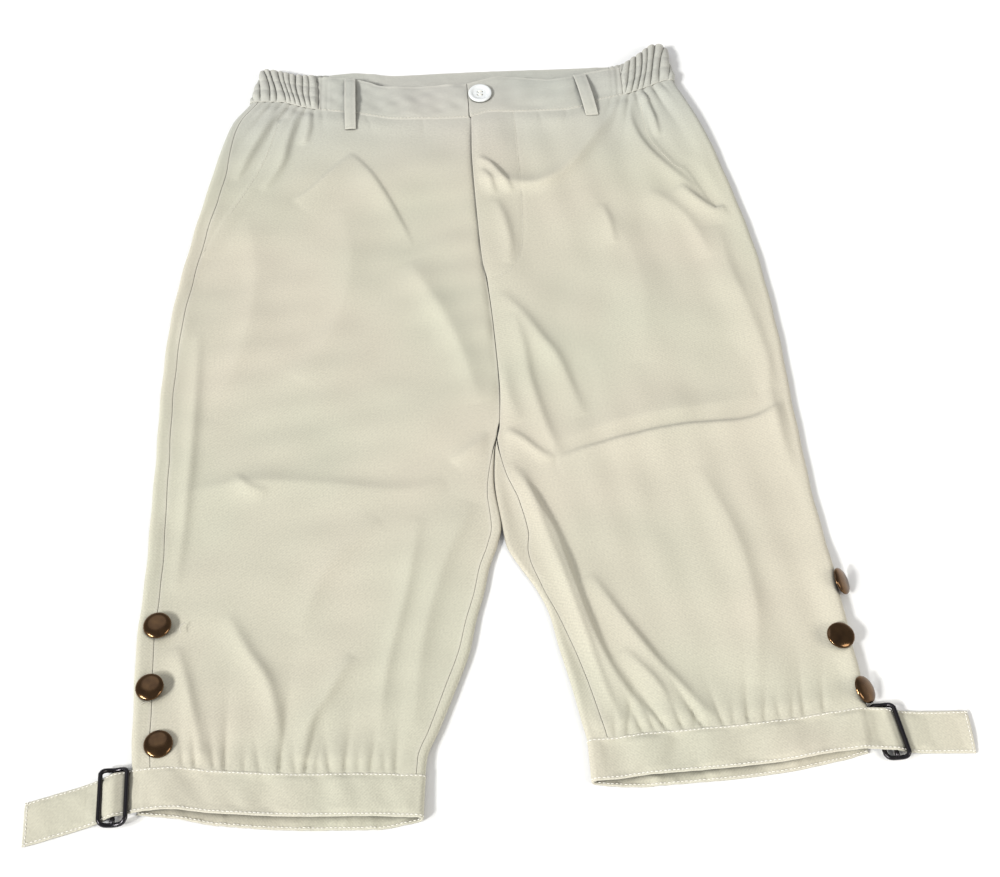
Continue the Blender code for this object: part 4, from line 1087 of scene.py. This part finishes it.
def knee_band(side):
    """Four runs of columns: the strap and its tail, the front of the knee, the inner fold, the back."""
    strap = np.array(STRAP[side])
    tail_end, knee_side = strap[0, 0], strap[-1, 0] - side * LEAVES_BUCKLE
    reach = abs(knee_side - tail_end)
    tail = tail_end + (knee_side - tail_end) * (with_stops(0, reach + FIRST_EVEN, 1.0)[:-5] / reach)
    back = np.concatenate([np.linspace(0, 0.99, 90)[1:], 1 - EDGE_STOPS[::-1] / BACK_LENGTH])
    counts = (len(tail), 134, 24, len(back))
    front = in_runs(counts, 0, np.linspace(0, 1, 135)[1:], 1, 1)
    angle = in_runs(counts, 1, 1, np.linspace(0.9, -1, 24), -1)
    back = in_runs(counts, 0, 0, 0, back)
    in_tail = in_runs(counts, True, False, False, False)
    tail = in_runs(counts, tail, knee_side, knee_side, knee_side)
    share = band_rows(KNEE_BAND_WIDTH)
    down = np.full((len(share), len(front)), 630.0)
    back_end = float(outer_edge(side, 640)) - side * 2.5
    past_strap = np.abs(tail - strap[-1, 0]) * ((tail - strap[-1, 0]) * side < 0)
    at_knee = ramp(past_strap, 0, LEAVES_BUCKLE)
    near_buckle = hill(tail - RODS[side][1][0], BUCKLE_REACH, 4) * (1 - at_knee)
    lean = BUCKLE_LEAN[side] * near_buckle * KNEE_BAND_WIDTH * (share - 0.5)
    for _ in range(ROUNDS):
        depth, _, quarter = fold_size(side, "inner", down, BAND)
        across = knee_side + (inner_edge(side, down) + side * depth - knee_side) * front
        fold_across, fold_height = section_point(side, "inner", angle * quarter, down, BAND)
        across = np.where(angle < 1, fold_across, across)
        across = across + (back_end - across) * back
        height = np.where(angle < 1, fold_height, top_height(side, across, down))
        height = np.where(back > 0, BAND / 2, height)
        across = np.where(in_tail, tail + lean, across)
        drop = np.where(angle < 1, ramp(angle, 1, 0), 0)
        down = knee_line(side, across, drop) + KNEE_BAND_WIDTH * share
    strap_height = smooth(STRAP[side], 1, tail)
    strap_height = strap_height + (top_height(side, across, down) - strap_height) * at_knee
    height = np.where(in_tail, strap_height, height)
    from_edge = np.minimum(share, 1 - share) * KNEE_BAND_WIDTH
    crinkle = 0.24 * soft_waves(across, down, 11, 31 + side) * hill(from_edge - 2, 5)
    crinkle = crinkle + 0.85 * soft_waves(across, 0.3 * down, 34, 33 + side) * ramp(from_edge, 0, 6)
    crinkle = crinkle + 0.3 * soft_waves(across, 0.6 * down, 15, 35 + side) * ramp(from_edge, 1, 8)
    crinkle = crinkle - 0.3 * hill(from_edge - 2.3, 0.8)
    gathered = soft_waves(across, 0.4 * down, 8, 37 + side) * hill(from_edge, 9)
    crinkle = crinkle + np.where(back > 0, 0.8 * gathered, 0)
    lying = (back > 0) | (in_tail & (np.abs(tail - tail_end) < LYING_TAIL))
    crinkle = np.where(lying, np.maximum(crinkle + 0.2, 0), crinkle)
    crinkle = crinkle * ramp(np.abs(across - inner_edge(side, down)) - depth, 0, 8)
    return to_points(across, down, height + crinkle)


for side, word in SIDE_NAMES.items():
    name = f"knee_band_{word}"
    faces_of[name] = shell(name, knee_band(side), BAND, side)
for name, side, top, bottom, width in BELT_LOOPS:
    faces_of[name] = shell(name, belt_loop(side, top, bottom, width), LOOP_WALL, 1)

# %% [markdown]
# Metal, resin and thread
#
# The domed buttons are thin pressed brass, plated a dark bronze and polished, so they mirror the lamp
# and the cloth. The buckles are bent from steel wire with a grey-black plating, a little less
# polished. The waist button is cast resin. The thread is spun polyester: white on the knee bands,
# and matched to the cloth elsewhere.


# %% Small materials
def flecked_material(name, scale, detail, dark, light, inputs):
    """A material whose colour changes finely between two tones, as noise of that scale."""
    material, tree = new_material(name)
    where = add_node(tree, "TexCoord", "Object", {})
    fleck = add_node(tree, "TexNoise", "Fac", {"Vector": where, "Scale": scale, "Detail": detail})
    colour = colour_ramp(tree, fleck, ((0.0, linear(dark)), (1.0, linear(light))))
    return surface(material, {"Base Color": colour, **inputs})


METAL = {"Metallic": 1.0, "Roughness": 0.18}
SPUN = {"Roughness": 0.65}
bronze = flecked_material("polished_dark_bronze", 160.0, 2.0, "#46352A", "#7D6041", METAL)
thread = flecked_material("off_white_polyester_thread", 900.0, 1.0, "#E6E2D6", "#F8F6EE", SPUN)
matched_thread = flecked_material("stone_polyester_thread", 900.0, 1.0, "#CBC7B8", "#DAD6C8", SPUN)
wire = new_material("gunmetal_plated_wire")[0]
surface(wire, {"Base Color": linear("#3E3C3E"), "Metallic": 1.0, "Roughness": 0.27})
resin = new_material("white_cast_resin")[0]
surface(resin, {"Base Color": linear("#E6E9E8"), "Roughness": 0.3})
print("materials:", len(bpy.data.materials))

# %% [markdown]
# Buttons
#
# A domed button is a surface turned about its own axis: a profile of radius and height, swept round.
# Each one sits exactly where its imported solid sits, which is measured from that solid: the middle of
# its vertices, and its lowest point along the tilted axis.

# %% Turned buttons
DOME_RADIUS = 10.0
DOME_HEIGHT = 3.6
DOME_RIM = 1.2
DOME_SEGMENTS = 96
DOME_TURN = {
    "button_right_1": 4, "button_right_2": 6, "button_right_3": 3,
    "button_left_1": 52, "button_left_2": 8, "button_left_3": 40,
}
# The rolled edge and the shank below the dome: radius, height.
DOME_FOOT = (
    (10.08, 1.0), (10.12, 0.8), (10.05, 0.55), (9.8, 0.3), (9.4, 0.12), (8.8, 0.05), (3.0, 0.25),
    (2.5, 0.1), (2.35, -0.4), (2.3, -0.9), (2.0, -1.0), (0, -1.0),
)


def node_points(name):
    """A CAD node's vertices, in metres."""
    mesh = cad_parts[name].data
    points = np.empty(len(mesh.vertices) * 3, np.float32)
    mesh.vertices.foreach_get("co", points)
    return points.reshape(-1, 3).astype(float)


def ring_numbers(count, sides):
    """Vertex numbers of rings of points. Each ring's first number stands again at its end."""
    index = np.arange(count * sides).reshape(count, sides)
    return np.concatenate([index, index[:, :1]], axis=1)


def capped(rings, first, last):
    """A closed surface over rings of points, with a fan of narrow quads to one point at each end."""
    count, sides = rings.shape[:2]
    index = ring_numbers(count, sides)
    two = np.arange(0, sides, 2)
    tip = np.full(len(two), count * sides)
    start = np.stack([index[0, two + 1], index[0, two], tip, index[0, two + 2]], -1)
    end = np.stack([index[-1, two], index[-1, two + 1], index[-1, two + 2], tip + 1], -1)
    return np.concatenate([rings.reshape(-1, 3), [first, last]]), np.concatenate([quads(index), start, end])


def turned(radius, height, segments):
    """Rings of the given radius at angles 2 * pi * k / segments. A height is a number for each ring, or
    one for each of its points. The first and the last ring are points on the axis."""
    angle = 2 * math.pi * np.arange(segments) / segments
    radius, height = np.asarray(radius)[:, None], height + 0 * angle
    rings = np.stack([radius * np.cos(angle), radius * np.sin(angle), height], axis=-1) * MM
    points, faces = capped(rings[1:-1], rings[0, 0], rings[-1, 0])
    return points, faces[:, ::-1]


dome_arc = np.linspace(0, math.pi / 2, 22)
dome_radius = [*(DOME_RADIUS * np.sin(dome_arc)), *(radius for radius, _ in DOME_FOOT)]
dome_height = [*(DOME_RIM + (DOME_HEIGHT - DOME_RIM) * np.cos(dome_arc)), *(z for _, z in DOME_FOOT)]
points, faces = turned(dome_radius, np.array(dome_height)[:, None], DOME_SEGMENTS)
for name, turn in DOME_TURN.items():
    side = RIGHT if "right" in name else LEFT
    tilt = math.radians(turn)
    axis = np.array([side * math.sin(tilt), 0, math.cos(tilt)])
    solid = node_points(name)
    middle = (solid.min(axis=0) + solid.max(axis=0)) / 2
    lowest = (solid @ axis).min() + MM
    foot = middle + axis * (lowest - middle @ axis)
    from_axis = solid - foot
    from_axis = from_axis - np.outer(from_axis @ axis, axis)
    foot = foot + (from_axis.min(axis=0) + from_axis.max(axis=0)) / 2
    x_axis = np.array([axis[2], 0, -axis[0]])
    placed = foot + points @ np.array([x_axis, (0, 1, 0), axis])
    add_piece(name, new_mesh(name, placed, faces), bronze)
print("domes:", [name for name in triangles_made if "button" in name])

# %% [markdown]
# Waist button
#
# The waist button is a four-hole disc with a raised rim and a dished middle. Holes could be cut with a
# Boolean. Here the disc is a turned surface, and each hole is a dark, deep well with the sewing thread
# crossing from well to well, because from outside a filled hole is all that shows.

# %% The disc and its thread
HOLE_RADIUS = 1.0
HOLE_SLOPE = 0.16
HOLE_OFFSET = 1.75
HOLE_DEPTH = 1.1
DISC_SEGMENTS = 144
BUTTON_THREAD = 0.42
# Radius and height of the dished face, and of the rim that follows it.
DISC_FACE = ((0, 1.35), (5.6, 1.45), (6.4, 1.75), (7.6, 2.45), (9.0, 2.55), (9.6, 2.3))
DISC_RIM = ((9.8, 2.1), (9.95, 1.8), (10, 1.4), (10, 1.0), (9.9, 0.6), (9.6, 0.2), (0, 0.2))
# A bar of thread between two holes: along it, height.
THREAD_BAR = ((-1.8, 0.6), (-1.35, 1.5), (-0.8, 1.85), (0, 1.95), (0.8, 1.85), (1.35, 1.5), (1.8, 0.6))

solid = node_points("waist_button")
button_low, button_high = solid.min(axis=0), solid.max(axis=0)
button_at = np.array([*(button_low + button_high)[:2] / 2, button_low[2]])
face_radius = np.concatenate([[0], np.linspace(0.02, 5.2, 44), np.linspace(5.3, 9.6, 22)])
radius = np.array([*face_radius, *(r for r, _ in DISC_RIM)])
height = np.array([*np.interp(face_radius, *zip(*DISC_FACE)), *(z for _, z in DISC_RIM)])
angle = 2 * math.pi * np.arange(DISC_SEGMENTS) / DISC_SEGMENTS
x, y = radius[:, None] * np.cos(angle), radius[:, None] * np.sin(angle)
well = 0
for dx, dy in ((-1, -1), (1, -1), (-1, 1), (1, 1)):
    from_hole = np.hypot(x - dx * HOLE_OFFSET, y - dy * HOLE_OFFSET)
    well = well + ramp(from_hole, HOLE_RADIUS + HOLE_SLOPE, HOLE_RADIUS - HOLE_SLOPE)
points, faces = turned(radius, height[:, None] - HOLE_DEPTH * well, DISC_SEGMENTS)
add_piece("waist_button", new_mesh("waist_button", points + button_at, faces), resin)
print("waist button in millimetres:", np.round((button_high - button_low) / MM, 2).tolist())

# %% [markdown]
# Tubes
#
# Threads and wire are tubes: a ring of points carried along a path. Every ring stands square to the
# path. Its first direction is the upward one, made square to the path by taking away its share along
# it, and its second is their cross product.

# %% Sweeping a tube
NEARLY_UP = np.array([0.02, 0.03, 1.0])


def unit(vectors):
    """Vectors of length 1 in the same directions."""
    return vectors / np.linalg.norm(vectors, axis=-1, keepdims=True)


def sweep(path, radius, sides, closed=False):
    """Points and faces of a tube. Ring point k is path + radius * (up * cos(a) + across * sin(a)),
    with a = 2 * pi * k / sides. An open tube is closed by fans at its ends."""
    if closed:
        tangent = unit(np.roll(path, -1, axis=0) - np.roll(path, 1, axis=0))
    else:
        tangent = unit(np.gradient(path, axis=0))
    up = unit(NEARLY_UP - tangent * (tangent @ NEARLY_UP)[:, None])
    angle = 2 * math.pi * np.arange(sides)[:, None] / sides
    ring = up[:, None] * np.cos(angle) + np.cross(tangent, up)[:, None] * np.sin(angle)
    rings = path[:, None] + ring * radius
    if not closed:
        return capped(rings, path[0], path[-1])
    index = ring_numbers(len(path), sides)
    return rings.reshape(-1, 3), quads(np.concatenate([index, index[:1]]))


def joined(parts):
    """Several (points, faces) as one."""
    counts = np.cumsum([0] + [len(points) for points, _ in parts[:-1]])
    faces = [faces + count for (_, faces), count in zip(parts, counts)]
    return np.concatenate([points for points, _ in parts]), np.concatenate(faces)


# %% Buckles
ROD_RADIUS = 1.6
ROD_SIDES = 14
BUCKLE_HALF = 19.5
BUCKLE_DROP = 0.7


def buckle(side):
    """The bent frame with its rounded corners, and the middle bar that the strap bends over."""
    (x0, z0), (x1, z1), (x2, z2) = RODS[side]
    centre = float(knee_line(side, x1)) + BUCKLE_DROP + KNEE_BAND_WIDTH / 2
    across = np.linspace(0, 1, 25)
    knots = np.linspace(0, 1, 5)
    end_x = np.interp(across, knots, [x0, (x0 + x1) / 2, x1, (x1 + x2) / 2, x2])
    end_z = smooth(list(zip(knots, [z0, (z0 + 3 * z1) / 4, z1, (z2 + 3 * z1) / 4, z2])), 1, across)
    bow = BUCKLE_HALF * (1 - 0.16 * (2 * np.abs(across - 0.5)) ** 6)
    upper = np.stack([end_x, -bow, end_z], axis=-1)
    lower = np.stack([end_x, bow, end_z], axis=-1)[::-1]
    straight = np.linspace(0.06, 0.94, 14)[:, None]
    rods = [first[-1] + (then[0] - first[-1]) * straight for first, then in ((upper, lower), (lower, upper))]
    ring = np.concatenate([upper, rods[0], lower, rods[1]])
    bar = np.stack([np.full(12, x1), np.linspace(-BUCKLE_HALF, BUCKLE_HALF, 12), np.full(12, z1)], axis=-1)
    tubes = []
    for path, closed in ((ring, True), (bar, False)):
        leaning = path[:, 0] + BUCKLE_LEAN[side] * path[:, 1]
        placed = to_points(leaning, centre + path[:, 1], path[:, 2])
        tubes.append(sweep(placed, ROD_RADIUS * MM, ROD_SIDES, closed))
    return joined(tubes)


for side, word in SIDE_NAMES.items():
    name = f"buckle_{word}"
    add_piece(name, new_mesh(name, *buckle(side)), wire)
print("wire of the buckles in millimetres:", 2 * ROD_RADIUS)

# %% [markdown]
# Stitches
#
# Topstitching is a lockstitch: on the face it shows as short dashes of thread, each diving into the
# cloth at both ends. Modelled dashes catch the light where a painted line would not. Each line of
# stitches follows a path on the cloth's finished face, so it rises and falls with the puckers.

# %% Rows of thread
STITCH_PITCH = 3.0
STITCH_LENGTH = 2.2
STITCH_RADIUS = 0.36
STITCH_SIDES = 6
# Stitches on the underside, lower than this, would lie in the table.
LOWEST_STITCH = 0.8
CAPSULE = (
    # share of the stitch's length, share of its radius, lift in radii
    (0.0, 0.35, -0.8), (0.12, 0.85, 0.1), (0.38, 1.0, 0.55), (0.62, 1.0, 0.55), (0.88, 0.85, 0.1),
    (1.0, 0.35, -0.8),
)


def face_row(face, distance, from_start=True, axis=0):
    """The path on a face that stays at a distance in millimetres from its first or last row."""
    face = np.swapaxes(face, 0, axis)
    face = face if from_start else face[::-1]
    passed = lengths_along(face, 0) / MM
    row = np.clip((passed < distance).sum(axis=0), 1, len(face) - 1)
    column = np.arange(face.shape[1])
    before, after = passed[row - 1, column], passed[row, column]
    share = ((distance - before) / (after - before))[:, None]
    return face[row - 1, column] * (1 - share) + face[row, column] * share


def stitch_row(path, seed, radius):
    """Stitches along a path. Number k starts at its pitch times k, a little early or late, and is a
    six-sided capsule between two points of the path, arched away from the cloth."""
    passed = lengths_along(path, 0) / MM
    random = np.random.default_rng(seed)
    starts = np.arange(0.5, passed[-1] - STITCH_LENGTH, STITCH_PITCH)
    starts = starts + random.uniform(-0.25, 0.25, len(starts))
    ends = starts + STITCH_LENGTH * random.uniform(0.88, 1.08, len(starts))
    share, thick, rise = np.array(CAPSULE).T
    at = starts[:, None] + (ends - starts)[:, None] * share
    spine = np.stack([np.interp(at, passed, path[:, k]) for k in range(3)], axis=-1)
    tangent = unit(spine[:, -1:] - spine[:, :1])
    up = unit(np.array([0, 0, 1.0]) - tangent * tangent[..., 2:]) + 0 * spine
    sideways = np.cross(tangent + 0 * spine, up)
    slant = random.uniform(-0.18, 0.18, (len(starts), 1, 1)) * (share[:, None] - 0.5)
    spine = spine + (up * rise[:, None] * radius + sideways * slant) * MM
    angle = 2 * math.pi * np.arange(STITCH_SIDES)[:, None] / STITCH_SIDES
    ring = up[..., None, :] * np.cos(angle) + sideways[..., None, :] * np.sin(angle)
    points = spine[..., None, :] + ring * (thick * radius * MM)[:, None, None]
    index = ring_numbers(len(share), STITCH_SIDES)
    caps = [index[0, [3, 2, 1, 0]], index[0, [0, 5, 4, 3]], index[-1, [0, 1, 2, 3]], index[-1, [3, 4, 5, 0]]]
    capsule = np.concatenate([quads(index), caps])
    faces = capsule + np.arange(len(starts))[:, None, None] * (len(share) * STITCH_SIDES)
    return points.reshape(-1, 3), faces.reshape(-1, 4)


def sew(name, paths, material, radius):
    """One piece of thread from several rows of stitches."""
    parts = [stitch_row(path, 100 + number, radius) for number, path in enumerate(paths)]
    add_piece(name, new_mesh(name, *joined(parts)), material)


def on_front(side, points):
    """A path on the face of a front panel, from points in the tailor's coordinates."""
    across, down = curve_through(points).T
    return to_points(across, down, top_surface(side, across, down) + CLOTH / 2)


ENDS = (True, False)
paths = [face_row(faces_of[f"waistband_front_{word}"][0], 2.2, False) for word in SIDE_NAMES.values()]
paths += [on_front(LEFT, FLY_CURVE), face_row(faces_of["waistband_back"][0], 5.5)]
for side in SIDE_NAMES:
    beside_mouth = np.array(POCKET_MOUTH[side], float) + (-side * 3.0, 0)
    paths += [on_front(side, beside_mouth[:-1])]
sew("waist_topstitching", paths, matched_thread, 0.26)
for word in SIDE_NAMES.values():
    outer = faces_of[f"knee_band_{word}"][0]
    paths = [face_row(face, 2.2, end) for face in faces_of[f"knee_band_{word}"] for end in ENDS]
    paths = [path[path[:, 2] > LOWEST_STITCH * MM] for path in paths] + [face_row(outer, 2.6, True, 1)]
    sew(f"knee_topstitching_{word}", paths, thread, STITCH_RADIUS)
paths = []
for name, *_ in BELT_LOOPS:
    outer = faces_of[name][0]
    paths += [face_row(outer, 1.6, end, 1) for end in ENDS] + [face_row(outer, 2.4, end) for end in ENDS]
sew("loop_topstitching", paths, matched_thread, 0.2)
print("stitched pieces:", [name for name in triangles_made if "stitching" in name])

# %% [markdown]
# The button's thread and two loose ends
#
# Two short bars of thread cross the waist button. Two ends that nobody trimmed stick out near the
# buttons of the right knee.

# %% Loose threads
LOOSE_RADIUS = 0.28
LOOSE_ENDS = (
    # across, down, height of points along each end
    ((-252.5, 566, 6.6), (-256, 566.5, 7.6), (-260, 569, 7.0), (-262.4, 573, 5.2), (-261.6, 577, 4.2)),
    ((-229, 507, 7.6), (-231, 508, 8.6), (-233, 511, 8.4), (-232.4, 515, 7.4)),
)

bars = []
for beside_middle in (-HOLE_OFFSET, HOLE_OFFSET):
    path = np.array([(along, beside_middle, height) for along, height in THREAD_BAR]) * MM
    bars.append(sweep(button_at + path, BUTTON_THREAD * MM, 8))
add_piece("waist_button_thread", new_mesh("waist_button_thread", *joined(bars)), thread)
tubes = []
for end in LOOSE_ENDS:
    points = np.array(end)
    (across, down), height = curve_through(points[:, :2]).T, curve_through(points[:, ::2])[:, 1]
    tubes.append(sweep(to_points(across, down, height), LOOSE_RADIUS * MM, 6))
add_piece("loose_thread_ends", new_mesh("loose_thread_ends", *joined(tubes)), matched_thread)
print("loose ends:", len(tubes))

# %% [markdown]
# The cloth as it was cut
#
# A sheet of cloth keeps its area when it is laid in folds, so the flat size of each piece is the
# length along its surface. Each shell printed above gives the rectangle that holds the piece as it
# shows, and the share of it that the piece fills. Turnings and facings inside the seams come on top
# of that. This cell counts the triangles of all pieces.

# %% Triangles in all
print("triangles in all:", sum(triangles_made.values()))
